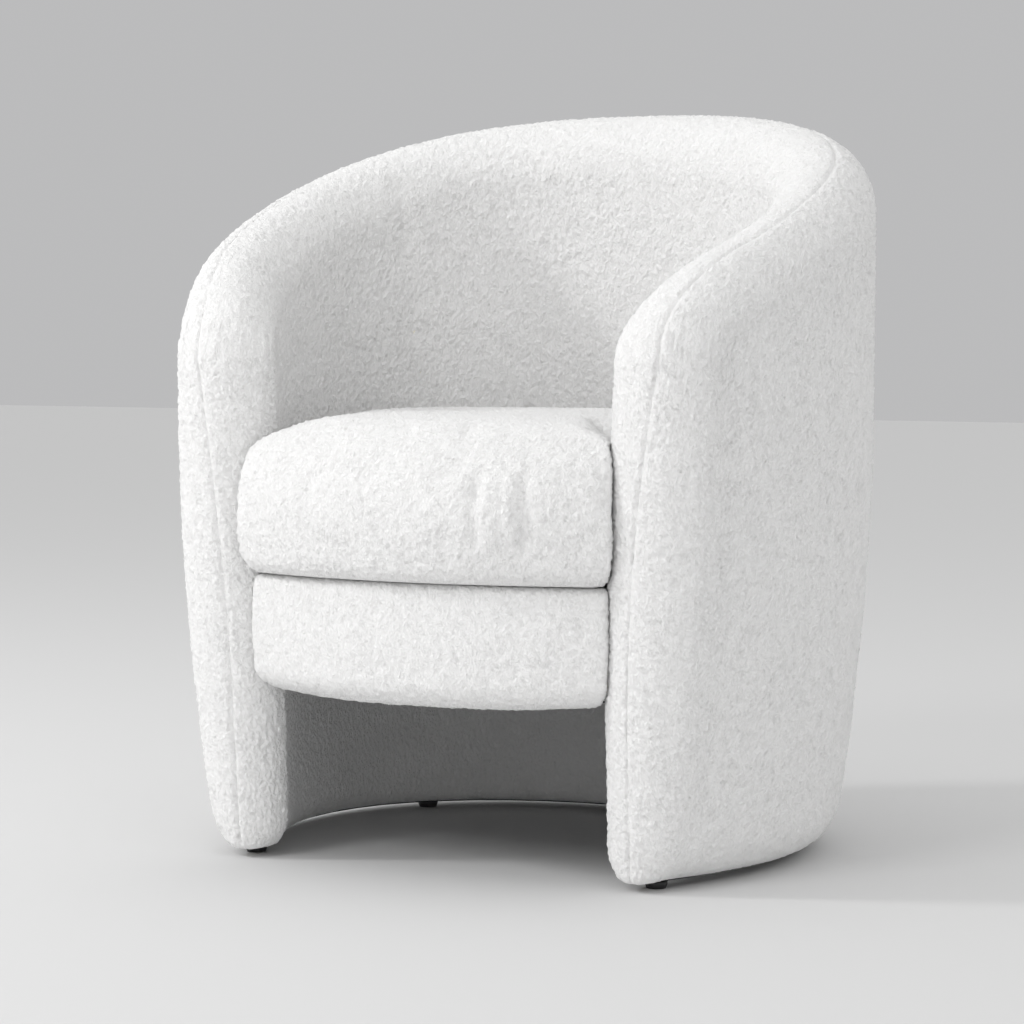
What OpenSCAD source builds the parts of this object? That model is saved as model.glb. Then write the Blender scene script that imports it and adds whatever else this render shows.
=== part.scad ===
// Tub chair: a barrel-shaped shell of sewn covers and padding over a timber frame,
// with a seat platform bolted inside it and a loose box cushion.
// The chair faces -Y and +Z is up. The origin is on the floor, under the middle of its box.

/* [Shell] */
// Height of the top of the back above the floor
overall_height = 770; // [740:1:800]
// Width across the arms
shell_width = 696; // [670:1:730]
// Depth of the shell, from the tips of the arms to the back
shell_depth = 583; // [560:1:620]
// Thickness of the upholstered arms
arm_wall = 101; // [98:1:112]
// Thickness of the upholstered back
back_wall = 125; // [110:1:135]
// Depth of the round back, from its rearmost point to where the arms begin
back_sweep = 341; // [320:1:360]
// Fullness of the round back in plan, where 2 is an ellipse
plan_power = 2.18; // [2:0.02:2.4]
// How far the arms draw in toward their front ends
arm_draw_in = 52; // [40:1:56]
// Height up to which the shell tapers like a barrel
shoulder_height = 460; // [430:1:490]
// How much each outer side draws in at the floor
outer_taper = 39; // [34:1:42]
// How much each inner side draws in at the floor
inner_taper = 9.6; // [6:0.2:12]
// Extra padding on the inside of an arm at half its height
arm_fullness = 7; // [2:1:10]
// Height of the shell's lower edge above the floor
floor_gap = 8.5; // [8:0.5:12]
// Width of the rounding of the shell's outer bottom edge
outer_edge_width = 30; // [26:1:31]
// Height of the rounding of the shell's outer bottom edge
outer_edge_height = 44; // [38:1:50]
// Width of the rounding of the shell's inner bottom edge
inner_edge_width = 24; // [20:1:25]
// Height of the rounding of the shell's inner bottom edge
inner_edge_height = 34; // [28:1:38]
// Radius of the bottom edge of an arm's front end
front_edge_radius = 9; // [6:1:12]

/* [Rim] */
// How steeply the rim falls toward the arms, as a share of the depth it crosses
rim_fall_share = 0.446; // [0.38:0.002:0.5]
// Distance in front of the back at which the rim begins to fall
rim_knee = 47; // [30:1:70]
// How gently the rim begins to fall
rim_knee_round = 259; // [220:1:290]
// Length of the rounded corner on top of each arm front
arm_corner_length = 54; // [40:1:70]
// Height of the rounded corner on top of each arm front
arm_corner_height = 25; // [18:1:32]
// How far the foot of each arm front stands back
front_setback = 10; // [4:1:16]
// Depth of the rounded arm front, as a share of half the arm's thickness
front_round_share = 0.91; // [0.85:0.01:1]
// Height of the rounded rim, as a share of half the wall's thickness
rim_round_share = 1.09; // [1:0.01:1.15]

/* [Seat] */
// Height of the platform's top above the floor
deck_height = 290.5; // [280:0.5:305]
// Height of the platform's upholstered front band
band_height = 121; // [110:1:130]
// How far the platform's bow front stands in front of the arm tips
platform_overhang = 23; // [20:1:27]
// How far the cushion's nose stands in front of the arm tips
cushion_overhang = 48; // [44:1:52]
// How far the middle of the bow front stands in front of its ends
bow_depth = 35; // [30:1:40]
// Thickness of the cushion at its crown
cushion_height = 158; // [140:1:170]

/* [Layers] */
// Thickness of the looped cover cloth
cover_thickness = 4; // [3:0.5:5]
// Thickness of the wadding under the outside cover
wadding_thickness = 8; // [6:0.5:9]
// Thickness of the bent hardboard
board_thickness = 3; // [2:0.5:4]
// Thickness of the frame members across the wall
frame_thickness = 33; // [28:1:34]
// Thickness of the wadding on the inside of the shell below the seat
lower_pad_thickness = 4; // [3:0.5:5]
// Depth of the bent top rails
top_rail_depth = 55; // [45:1:65]
// Thickness of the plywood bottom plate
plate_thickness = 18; // [15:1:22]
// Width of the plywood bottom plate
plate_width = 33; // [28:1:34]
// Width of the upright ribs
rib_width = 24; // [18:1:28]
// Width of the front posts
post_width = 50; // [40:1:54]

/* [Platform frame] */
// Thickness of the platform's rails
rail_thickness = 24; // [20:1:28]
// Height of the platform's rails
rail_height = 89; // [80:1:92]
// Diameter of the spring wire
spring_wire = 3.6; // [3:0.2:4]
// Number of zigzag springs
spring_count = 4; // [3:1:5]
// Half length of the straight rods in a spring
spring_reach = 14; // [10:1:18]
// Straight rods in each spring
spring_rods = 15; // [13:2:17]
// Thickness of the foam round the platform's rails
platform_foam_thickness = 7; // [5:0.2:8]
// Diameter of the platform bolts
bolt_diameter = 8; // [6:1:9]
// Diameter of the threaded inserts for the bolts
insert_diameter = 12; // [11:0.5:14]
// Length of the threaded inserts
insert_length = 16; // [12:1:20]

/* [Feet] */
// Diameter of a glide at its top
glide_diameter = 22; // [18:1:24]
// Diameter of a glide's stem
glide_stem = 9; // [8:0.5:10]
// Diameter of the screw in a glide
glide_screw_diameter = 3.5; // [3:0.5:4]

/* [Hidden] */

cloth = "whitesmoke";
timber = "burlywood";
ply = "tan";
foam = "lightyellow";
$fn = 48;

// Clearances between touching pieces, between frame members, and round the cushion and under it
seat_gap = 0.4;
frame_gap = 1.2;
cushion_gap = 2.5;
rest_gap = 0.3;
// Clearance between layers of cloth, foam and wadding, and under the rim roll
layer_gap = 0.3;
rim_clearance = 3;
// How far behind the arm's front the flat layers begin, in stations
slab_start = 0.006;
// Overrun of a cut past the face it opens
overrun = 1;
half_turn = 180;
// How far below the platform's top the arm foam begins
foam_foot = 8;

overall_depth = shell_depth + cushion_overhang;
back_y = overall_depth / 2;
tip_y = back_y - shell_depth;
end_y = tip_y + front_round_share * arm_wall / 2;
turn_y = back_y - back_sweep;
crest_z = overall_height - rim_round_share * back_wall / 2;
knee_y = back_y - rim_knee;
back_mid_y = back_y - back_wall / 2;
setback_power = 1.7;

// Height of the wall's middle line under the rim, at a depth y
function rim_drop(y) =
  rim_fall_share * ((knee_y - y) + sqrt(pow(knee_y - y, 2) + pow(rim_knee_round, 2))) / 2;
function corner_share(y) = min(1, max(0, (end_y + arm_corner_length - y) / arm_corner_length));
function rim_z(y) = crest_z - rim_drop(y) + rim_drop(back_mid_y)
  - arm_corner_height * (1 - sqrt(1 - pow(corner_share(y), 2)));
end_top = rim_z(end_y);

// How far a rounded bottom edge of the given width and height draws in at height z
function edge_in(z, width, height) = z - floor_gap >= height ? 0
  : width * (1 - sqrt(1 - pow(1 - max(0, z - floor_gap) / height, 2)));
function outer_edge_in(z) = edge_in(z, outer_edge_width, outer_edge_height);
function inner_edge_in(z) = edge_in(z, inner_edge_width, inner_edge_height);
function taper_share(z) = pow(max(0, shoulder_height - z) / shoulder_height, 2);
function fullness_share(z) = let (up = min(1, z / end_top)) 4 * up * (1 - up);

// Half width and rear reach of the wall's outer and inner faces at height z
function outer_half(z) = shell_width / 2 - outer_taper * taper_share(z) - outer_edge_in(z);
function outer_reach(z) = back_y - outer_taper * taper_share(z) - outer_edge_in(z);
function inner_half(z) = shell_width / 2 - arm_wall - inner_taper * taper_share(z)
  + inner_edge_in(z) - arm_fullness * fullness_share(z);
function inner_reach(z) = back_y - back_wall - inner_taper * taper_share(z)
  + inner_edge_in(z);
function front_y(z) = end_y + front_setback * pow(max(0, end_top - z) / end_top, setback_power);

// A station q runs from 0 at an arm's front end, by 1 where the arm meets the round back,
// to 2 at the middle of the back. This is the right half of the wall in plan.
function plan_point(q, z, half, reach) = q <= 1
  ? [half - arm_draw_in * pow(1 - q, 2), front_y(z) + (turn_y - front_y(z)) * q, z]
  : [half * pow(abs(cos((q - 1) * 90)), 2 / plan_power),
     turn_y + (reach - turn_y) * pow(abs(sin((q - 1) * 90)), 2 / plan_power), z];
function outer_point(q, z) = plan_point(q, z, outer_half(z), outer_reach(z));
function inner_point(q, z) = plan_point(q, z, inner_half(z), inner_reach(z));
function unit(v) = v / norm(v);
function mirror_x(p) = [-p[0], p[1], p[2]];

// A signed station s runs from 0 at the left arm's front, by the back, to the right arm's front
back_station = 2;
last_station = 2 * back_station;
function half_station(s) = s <= back_station ? s : last_station - s;
function on_side(s, p) = s < back_station ? mirror_x(p) : p;
function wall_from_outside(s, z, depth) =
  let (q = half_station(s), o = outer_point(q, z), i = inner_point(q, z))
  on_side(s, o + unit(i - o) * depth);
function wall_from_inside(s, z, depth) =
  let (q = half_station(s), o = outer_point(q, z), i = inner_point(q, z))
  on_side(s, i + unit(o - i) * depth);
function top_z(s) =
  let (q = half_station(s), z = overall_height, m = (outer_point(q, z) + inner_point(q, z)) / 2)
  rim_z(m[1]);

// The shell's grid: stations round the wall, and rows up it
arm_shares = [0, 0.04, 0.12, 0.25, 0.45, 0.7];
back_steps = 10;
half_stations = concat(arm_shares, [for (i = [0:back_steps]) 1 + i / back_steps]);
last_half = len(half_stations) - 1;
stations = concat(half_stations, [for (i = [last_half - 1:-1:0]) last_station - half_stations[i]]);
last_column = len(stations) - 1;
band_bottom = deck_height - band_height;
band_low = band_bottom + cover_thickness;
band_high = deck_height - foam_foot;
edge_row_shares = [0, 0.134, 0.5, 1];
lower_row_share = 0.47;
upper_row_shares = [0.25, 0.5, 0.75, 1];
edge_top = floor_gap + outer_edge_height;
band_row = len(edge_row_shares) + 1;
deck_row = band_row + 1;
rim_row = deck_row + len(upper_row_shares);
function row_heights(s) = concat(
  [for (share = edge_row_shares) floor_gap + outer_edge_height * share],
  [edge_top + (band_low - edge_top) * lower_row_share, band_low, band_high],
  [for (share = upper_row_shares) band_high + (top_z(s) - band_high) * share]);
grid_heights = [for (s = stations) row_heights(s)];

// The wall's free edge: up the left arm's front, along the rim, and down the right arm's front.
// Each entry is [column, row].
free_edge = concat([for (r = [0:rim_row]) [0, r]], [for (c = [1:last_column]) [c, rim_row]],
  [for (r = [rim_row - 1:-1:0]) [last_column, r]]);
last_edge = len(free_edge) - 1;
edge_middles = [for (e = free_edge)
  let (s = stations[e[0]], z = grid_heights[e[0]][e[1]])
  (wall_from_outside(s, z, 0) + wall_from_inside(s, z, 0)) / 2];
round_blend_share = 0.375;
function round_share(s) = let (q = half_station(s))
  front_round_share + (rim_round_share - front_round_share) * min(1, q / round_blend_share);

// Where the ridge seam runs round the rounded edge, in degrees from the outer face
seam_floor_angle = 93;
seam_mid_angle = 104.6;
seam_rim_angle = 80.3;
function seam_angle(z) = let (up = min(1, z / end_top))
  seam_floor_angle * (1 - up) * (1 - 2 * up) + seam_mid_angle * 4 * up * (1 - up)
  + seam_rim_angle * up * (2 * up - 1);

// A point on the rounded free edge: angle 0 is the outer face and 180 the inner face
function edge_point(k, angle, layer) =
  let (e = free_edge[k], s = stations[e[0]], z = grid_heights[e[0]][e[1]],
    o = wall_from_outside(s, z, 0), i = wall_from_inside(s, z, 0),
    across = unit(o - i), half = norm(o - i) / 2,
    along = edge_middles[min(last_edge, k + 1)] - edge_middles[max(0, k - 1)],
    outward = unit(cross(along, across)),
    reach = (half + (outer_edge_in(z) + inner_edge_in(z)) / 2) * round_share(s)
      - edge_in(z, front_edge_radius, front_edge_radius))
  edge_middles[k] + across * (half - layer) * cos(angle) + outward * (reach - layer) * sin(angle);
edge_steps = 4;
function seam_at(k) = seam_angle(edge_middles[k][2]);
// Each cover stops this many degrees short of the seam
seam_play = 0.3;
function outside_angle(k, l) = (seam_at(k) - seam_play) * l / edge_steps;
function inside_angle(k, l) = half_turn - (half_turn - seam_at(k) - seam_play) * l / edge_steps;

// Faces of a quad, cut along its first diagonal
function quad(a, b, c, d) = [[a, b, c], [a, c, d]];
function flat_list(lists) = [for (l = lists) each l];
// Walls between a loop on one surface and the same loop on the surface behind it
function loop_walls(loop, n) = flat_list([for (i = [0:len(loop) - 1])
  let (a = loop[i], b = loop[(i + 1) % len(loop)]) quad(b, a, a + n, b + n)]);
function both_sides(quads, n) = concat(
  flat_list([for (q = quads) quad(q[0], q[1], q[2], q[3])]),
  flat_list([for (q = quads) [[q[0] + n, q[2] + n, q[1] + n], [q[0] + n, q[3] + n, q[2] + n]]]));

// A sheet over a grid of columns and rows, with its outer points first and its inner points behind
module grid_sheet(outer_points, inner_points, columns, rows) {
  n = (columns + 1) * (rows + 1);
  quads = [for (c = [0:columns - 1]) for (r = [0:rows - 1])
    let (a = c * (rows + 1) + r, b = a + rows + 1) [a, b, b + 1, a + 1]];
  loop = concat([for (c = [0:columns]) c * (rows + 1)],
    [for (r = [1:rows]) columns * (rows + 1) + r],
    [for (c = [columns - 1:-1:0]) c * (rows + 1) + rows],
    [for (r = [rows - 1:-1:1]) r]);
  polyhedron(concat(outer_points, inner_points), concat(both_sides(quads, n), loop_walls(loop, n)));
}

// A cover: the grid of one face, and the strip that carries it round the free edge to the seam
module cover(outside) {
  rows = rim_row + 1;
  grid_count = (last_column + 1) * rows;
  n = grid_count + (last_edge + 1) * edge_steps;
  function at(k, l) = l == 0 ? free_edge[k][0] * rows + free_edge[k][1]
    : grid_count + k * edge_steps + l - 1;
  function face_points(layer) = concat(
    [for (c = [0:last_column]) for (r = [0:rim_row]) outside
      ? wall_from_outside(stations[c], grid_heights[c][r], layer)
      : wall_from_inside(stations[c], grid_heights[c][r], layer)],
    [for (k = [0:last_edge]) for (l = [1:edge_steps])
      edge_point(k, outside ? outside_angle(k, l) : inside_angle(k, l), layer)]);
  quads = concat(
    [for (c = [0:last_column - 1]) for (r = [0:rim_row - 1])
      let (a = c * rows + r, b = a + rows) [a, b, b + 1, a + 1]],
    [for (k = [0:last_edge - 1]) for (l = [0:edge_steps - 1])
      [at(k, l), at(k + 1, l), at(k + 1, l + 1), at(k, l + 1)]]);
  loop = concat([for (l = [edge_steps:-1:1]) at(0, l)], [for (c = [0:last_column]) c * rows],
    [for (l = [1:edge_steps]) at(last_edge, l)],
    [for (k = [last_edge - 1:-1:1]) at(k, edge_steps)]);
  polyhedron(concat(face_points(outside ? 0 : cover_thickness), face_points(outside ? cover_thickness : 0)),
    concat(both_sides(quads, n), loop_walls(loop, n)));
}

// Values and points between two stations of the grid lie on the straight line between them
function bracket(s) = max([for (i = [0:last_column - 1]) if (i == 0 || stations[i] <= s) i]);
function on_chord(s, at) = let (i = bracket(s), share = (s - stations[i]) / (stations[i + 1] - stations[i]))
  at(stations[i]) * (1 - share) + at(stations[i + 1]) * share;

// A slab of the wall between two rows of the shell's grid. outer_at and inner_at place its two
// surfaces for a station and a height. It stops just short of the rim roll.
module wall_slab(first_row, last_row, outer_at, inner_at) {
  function place(c, r, at) = let (z = grid_heights[c][r] - (r == rim_row ? rim_clearance : 0))
    on_chord(min(last_station - slab_start, max(slab_start, stations[c])), function (s) at(s, z));
  grid_sheet([for (c = [0:last_column]) for (r = [first_row:last_row]) place(c, r, outer_at)],
    [for (c = [0:last_column]) for (r = [first_row:last_row]) place(c, r, inner_at)],
    last_column, last_row - first_row);
}

// A timber member that follows the wall through the stations in span, between two heights
module wall_member(span, low_at, high_at, rows, outer_at, inner_at) {
  function level(s, r) = on_chord(s, function (q) low_at(q) + (high_at(q) - low_at(q)) * r / rows);
  grid_sheet([for (s = span) for (r = [0:rows]) let (z = level(s, r)) on_chord(s, function (q) outer_at(q, z))],
    [for (s = span) for (r = [0:rows]) let (z = level(s, r)) on_chord(s, function (q) inner_at(q, z))],
    len(span) - 1, rows);
}

// Depths of the layers from the outer face
wadding_depth = cover_thickness + layer_gap;
board_depth = wadding_depth + wadding_thickness + layer_gap;
frame_depth = board_depth + board_thickness + frame_gap;
cleat_depth = frame_depth + frame_thickness + frame_gap;
foam_depth = cleat_depth + board_thickness + seat_gap;
function at_depth(depth) = function (s, z) wall_from_outside(s, z, depth);
function at_inner_depth(depth) = function (s, z) wall_from_inside(s, z, depth);

// Stations of the uprights on the left, and of the joints between the rails
side_rib_station = 0.8;
rear_rib_station = 1.4;
back_rib_station = 1.775;
// The bolts stand square to the wall's inner face, so they start a little behind their uprights
arm_run = turn_y - end_y;
post_middle = 2 * frame_gap + post_width / 2;
bolt_lead = arm_wall - frame_depth - frame_thickness + insert_length / 2;
bolt_sweep = 2 * bolt_lead * arm_draw_in / arm_run;
post_bolt_station = (post_middle + bolt_sweep) / (arm_run + bolt_sweep);
side_bolt_station = 0.825;
back_bolt_station = 1.76;
bolt_stations = [post_bolt_station, side_bolt_station, back_bolt_station,
  last_station - back_bolt_station, last_station - side_bolt_station, last_station - post_bolt_station];
// Members keep this far from the arm's front end and from each other, in stations
front_start = 2 * frame_gap / arm_run;
joint_step = 0.0015;
function clear_of_front(s) = min(last_station - front_start, max(front_start, s));
function span_between(first, last) = concat([clear_of_front(first + joint_step)],
  [for (s = stations) if (s > first + front_start && s < last - front_start) s], [clear_of_front(last - joint_step)]);
function reversed(list) = [for (i = [len(list) - 1:-1:0]) list[i]];
function flat(points) = [for (p = points) [p[0], p[1]]];

module outside_cover() {
  color(cloth) cover(true);
}

module inside_cover() {
  color(cloth) difference() {
    cover(false);
    bolt_holes(bolt_stations, bolt_hole_diameter);
  }
}

// Foam roll over the top rail and down the arm fronts, flat where it sits on the frame
module rim_roll() {
  sides = 2 * edge_steps + 1;
  points = [for (k = [0:last_edge]) for (l = [0:sides - 1]) edge_point(k,
    l <= edge_steps ? outside_angle(k, l) : inside_angle(k, 2 * edge_steps - l), cover_thickness + layer_gap)];
  function at(k, l) = k * sides + l % sides;
  faces = concat(
    flat_list([for (k = [0:last_edge - 1]) for (l = [0:sides - 1]) l < edge_steps
      ? quad(at(k, l), at(k + 1, l), at(k + 1, l + 1), at(k, l + 1))
      : quad(at(k + 1, l), at(k + 1, l + 1), at(k, l + 1), at(k, l))]),
    [[for (l = [0:sides - 1]) at(0, l)], [for (l = [sides - 1:-1:0]) at(last_edge, l)]]);
  color(foam) polyhedron(points, faces);
}

module outside_wadding() {
  color("ivory") wall_slab(1, rim_row, at_depth(wadding_depth), at_depth(wadding_depth + wadding_thickness));
}

module outside_board() {
  color("peru") wall_slab(len(edge_row_shares) - 1, rim_row, at_depth(board_depth),
    at_depth(board_depth + board_thickness));
}

module inside_board() {
  color("peru") wall_slab(deck_row, rim_row, at_depth(cleat_depth), at_depth(cleat_depth + board_thickness));
}

module inside_foam() {
  color(foam) wall_slab(deck_row, rim_row, at_depth(foam_depth), at_inner_depth(cover_thickness + layer_gap));
}

module lower_inside_wadding() {
  color("ivory") wall_slab(1, band_row, at_inner_depth(cover_thickness + layer_gap + lower_pad_thickness),
    at_inner_depth(cover_thickness + layer_gap));
}

// The plywood plate that the frame stands on
plate_bottom = floor_gap + outer_edge_height / 4;
plate_top = plate_bottom + plate_thickness;
plate_inset = cover_thickness + lower_pad_thickness + rim_clearance;
// Glides stand under the middle of the shell's lower edge, near the arms' fronts and behind
glide_setback = 10;
front_glide_station = glide_setback / arm_run;
rear_glide_station = 1.45;
glide_stations = [front_glide_station, rear_glide_station,
  last_station - rear_glide_station, last_station - front_glide_station];
glide_places = [for (s = glide_stations)
  (wall_from_outside(s, floor_gap, 0) + wall_from_inside(s, floor_gap, 0)) / 2];
glide_screw_grip = 14;
module bottom_plate() {
  inner_edge = [for (s = stations) wall_from_inside(clear_of_front(s), plate_bottom, plate_inset)];
  outer_edge = [for (s = stations) wall_from_inside(clear_of_front(s), plate_bottom, plate_inset + plate_width)];
  color(ply) difference() {
    translate([0, 0, plate_bottom]) linear_extrude(plate_thickness)
      polygon(flat(concat(inner_edge, reversed(outer_edge))));
    for (place = glide_places) translate([place[0], place[1], plate_bottom - overrun])
      cylinder(h = glide_screw_grip + overrun, d = glide_screw_diameter);
  }
}

function rail_top_at(s) = top_z(s) - rim_clearance;
function rail_low_at(s) = rail_top_at(s) - top_rail_depth;
module top_rail(first, last) {
  color(ply) wall_member(span_between(first, last), function (s) rail_low_at(s), function (s) rail_top_at(s), 1,
    at_depth(frame_depth), at_depth(frame_depth + frame_thickness));
}

module top_rail_left() {
  top_rail(0, rear_rib_station);
}

module top_rail_right() {
  top_rail(last_station - rear_rib_station, last_station);
}

module top_rail_back() {
  top_rail(rear_rib_station, last_station - rear_rib_station);
}

// Uprights between the bottom plate and the top rail
upright_rows = 8;
module upright(span) {
  color(timber) wall_member(span, function (s) plate_top, function (s) rail_low_at(s) - seat_gap, upright_rows,
    at_depth(frame_depth), at_depth(frame_depth + frame_thickness));
}

// An upright bored for the threaded insert of a platform bolt
module bolted_upright(span, station) {
  color(timber) difference() {
    upright(span);
    along_bolt(station, insert_start(station) - rim_clearance, insert_length + 2 * rim_clearance,
      insert_diameter + 2 * seat_gap);
  }
}

// Change of station for a distance along the wall
function station_step(s, distance) = let (step = 0.02)
  distance * 2 * step / norm(outer_point(s + step, shoulder_height) - outer_point(s - step, shoulder_height));
function rib_span(station) = let (step = station_step(station, rib_width / 2))
  concat([station - step], [for (s = stations) if (s > station - step && s < station + step) s], [station + step]);

module arm_post_left() {
  post_end = front_start + post_width / arm_run;
  middle = [for (s = arm_shares) if (s > front_start && s < post_end) s];
  bolted_upright(concat([front_start], middle, [post_end]), post_bolt_station);
}

module arm_post_right() {
  mirror([1, 0, 0]) arm_post_left();
}

module side_rib_left() {
  bolted_upright(rib_span(side_rib_station), side_bolt_station);
}

module side_rib_right() {
  mirror([1, 0, 0]) side_rib_left();
}

module rear_rib_left() {
  upright(rib_span(rear_rib_station));
}

module rear_rib_right() {
  mirror([1, 0, 0]) rear_rib_left();
}

module back_rib_left() {
  bolted_upright(rib_span(back_rib_station), back_bolt_station);
}

module back_rib_right() {
  mirror([1, 0, 0]) back_rib_left();
}

// Cleats inside the wall: the platform is bolted through the inside cover and these to the uprights
module cleat(first, last) {
  color(ply) difference() {
    wall_member(span_between(first, last), function (s) band_low, function (s) band_high, 1,
      at_depth(cleat_depth), at_inner_depth(cover_thickness + seat_gap));
    bolt_holes([for (s = bolt_stations) if (s > first && s < last) s], bolt_hole_diameter);
  }
}

module cleat_left() {
  cleat(0, rear_rib_station);
}

module cleat_right() {
  cleat(last_station - rear_rib_station, last_station);
}

module cleat_back() {
  cleat(rear_rib_station, last_station - rear_rib_station);
}

// The platform bolts run level, square to the wall, from inside the platform into the uprights.
// Places along a bolt are measured from the shell's inner face, positive into the wall.
bolt_z = band_bottom + band_height / 2;
bolt_hole_diameter = bolt_diameter + 2 * seat_gap;
bolt_head_height = 5.3;
bolt_head_width = 15;
washer_thickness = 2;
washer_diameter = 24;
rail_inset = cover_thickness + platform_foam_thickness + 2 * frame_gap;
// The shell's inner face at a bolt, the outward square to it, and how far layers lean from that square
function bolt_point(s) = on_chord(s, function (q) wall_from_inside(q, bolt_z, 0));
function bolt_square(s) = let (i = bracket(s),
    along = unit(wall_from_inside(stations[i + 1], bolt_z, 0) - wall_from_inside(stations[i], bolt_z, 0)))
  [-along[1], along[0], 0];
function bolt_lean(s) = unit(wall_from_outside(s, bolt_z, 0) - wall_from_inside(s, bolt_z, 0)) * bolt_square(s);
function bolt_head_place(s) = -(seat_gap + rail_inset + rail_thickness) * bolt_lean(s) - 2 * seat_gap;
function insert_start(s) = bolt_lean(s) * (norm(wall_from_outside(s, bolt_z, 0) - wall_from_inside(s, bolt_z, 0))
  - frame_depth - frame_thickness);
module along_bolt(s, start, length, diameter, sides = $fn) {
  square_out = bolt_square(s);
  translate(bolt_point(s) + square_out * start) rotate([0, 90, atan2(square_out[1], square_out[0])])
    cylinder(h = length, d = diameter, $fn = sides);
}

module bolt_holes(places, diameter) {
  for (s = places) along_bolt(s, bolt_head_place(s) - rim_clearance,
    insert_start(s) - bolt_head_place(s) + 2 * rim_clearance, diameter);
}

module platform_bolts() {
  color("silver") for (s = bolt_stations) {
    head = bolt_head_place(s) - washer_thickness - bolt_head_height;
    along_bolt(s, head, insert_start(s) + insert_length - overrun - head, bolt_diameter);
    along_bolt(s, head + bolt_head_height - layer_gap, washer_thickness + layer_gap, washer_diameter);
    along_bolt(s, head, bolt_head_height, bolt_head_width, 6);
  }
}

module threaded_inserts() {
  color("gold") difference() {
    for (s = bolt_stations) along_bolt(s, insert_start(s), insert_length, insert_diameter);
    for (s = bolt_stations) along_bolt(s, insert_start(s) - overrun, insert_length + 2 * overrun,
      bolt_diameter + seat_gap);
  }
}

// The platform and the cushion share an outline: round the tub inside the shell, past the arms'
// rounded inner edges, and across a bow front
platform_nose = tip_y - platform_overhang;
cushion_nose = tip_y - cushion_overhang;
arm_mouth_half = shell_width / 2 - arm_wall - arm_draw_in;
bow_radius = (pow(arm_mouth_half, 2) + pow(bow_depth, 2)) / (2 * bow_depth);
function bow_y(x, nose) = nose + bow_radius - sqrt(pow(bow_radius, 2) - pow(x, 2));
function arm_edge(z, angle, gap) = let (o = outer_point(0, z), i = inner_point(0, z), half = (o[0] - i[0]) / 2)
  [(o[0] + i[0]) / 2 + (half + gap) * cos(angle), front_y(z) - (half * front_round_share + gap) * sin(angle), z];
platform_wrap_angles = [165, 150, 140];
cushion_wrap_angles = [165, 150, 135, 124];
bow_shares = [0.97, 0.86, 0.66, 0.42, 0.2];
// How far each bow reaches past the mouth on either side, as a share of its overhang
platform_spread_share = 0.125;
cushion_spread_share = 0.33;
platform_bow_half = arm_mouth_half + platform_overhang * platform_spread_share;
cushion_bow_half = arm_mouth_half + cushion_overhang * cushion_spread_share;
function seat_outline(z, gap, nose, angles, bow_half) = let (
    wraps = [for (angle = angles) arm_edge(z, angle, max(gap, frame_gap))],
    bows = [for (share = bow_shares) [bow_half * share, bow_y(bow_half * share, nose), z]])
  concat([for (s = stations) wall_from_inside(s, z, -gap)], wraps, bows,
    [[0, nose, z]], [for (p = reversed(bows)) mirror_x(p)], [for (p = reversed(wraps)) mirror_x(p)]);
// An outline drawn in toward the middle of the seat by about inset, and set at height z
seat_half = inner_half(deck_height);
function drawn_in(points, nose, inset, z) = let (back = back_y - back_wall, middle = (nose + back) / 2,
    share_x = 1 - inset / seat_half, share_y = 1 - 2 * inset / (back - nose))
  [for (p = points) [p[0] * share_x, middle + (p[1] - middle) * share_y, z]];

// Side faces between rings of n points, listed clockwise from above, from the lowest ring up
function ring_quads(n, rings) = [for (k = [0:rings - 2]) for (i = [0:n - 1])
  let (a = k * n + i, b = k * n + (i + 1) % n) [a, b, b + n, a + n]];
function ring_up(first, n) = [for (i = [0:n - 1]) first + i];
function ring_down(first, n) = [for (i = [n - 1:-1:0]) first + i];
// A closed solid through rings from the lowest to the highest
module ring_solid(rings) {
  n = len(rings[0]);
  polyhedron(flat_list(rings), concat(
    flat_list([for (q = ring_quads(n, len(rings))) quad(q[0], q[1], q[2], q[3])]),
    [ring_down(0, n), ring_up((len(rings) - 1) * n, n)]));
}

// A thin shell between two nested sets of rings: closed on top and open below, or the other way up
module ring_shell(outer_rings, inner_rings, closed_above) {
  n = len(outer_rings[0]);
  half = n * len(outer_rings);
  top = half - n;
  polyhedron(flat_list(concat(outer_rings, inner_rings)), concat(
    both_sides(ring_quads(n, len(outer_rings)), half),
    closed_above ? [ring_up(top, n), ring_down(half + top, n)] : [ring_down(0, n), ring_up(half, n)],
    loop_walls(closed_above ? ring_up(0, n) : ring_down(top, n), half)));
}

// The platform's cover: a bow-fronted tray turned over the rails, with a lip under their edges.
// Profiles list the inset from the outline and the height.
band_edge_radius = 22;
deck_edge_radius = 9;
band_lip = 34;
edge_turns = [0, 45, 90];
function platform_ring(inset, z) = drawn_in(
  seat_outline(z, seat_gap, platform_nose, platform_wrap_angles, platform_bow_half), platform_nose, inset, z);
function turn_up(radius, inset, z) =
  [for (a = edge_turns) [inset + radius * (1 - sin(a)), z + radius * (1 - cos(a))]];
function turn_over(radius, inset, z) =
  [for (a = edge_turns) [inset + radius * (1 - cos(a)), z - radius * (1 - sin(a))]];
function band_profile(layer) = concat([[band_lip, band_bottom + layer]],
  turn_up(band_edge_radius - layer, layer, band_bottom + layer),
  turn_over(deck_edge_radius - layer, layer, deck_height - layer));
module platform_cover() {
  color(cloth) difference() {
    ring_shell([for (p = band_profile(0)) platform_ring(p[0], p[1])],
      [for (p = band_profile(cover_thickness)) platform_ring(p[0], p[1])], true);
    bolt_holes(bolt_stations, bolt_hole_diameter);
  }
}

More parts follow.
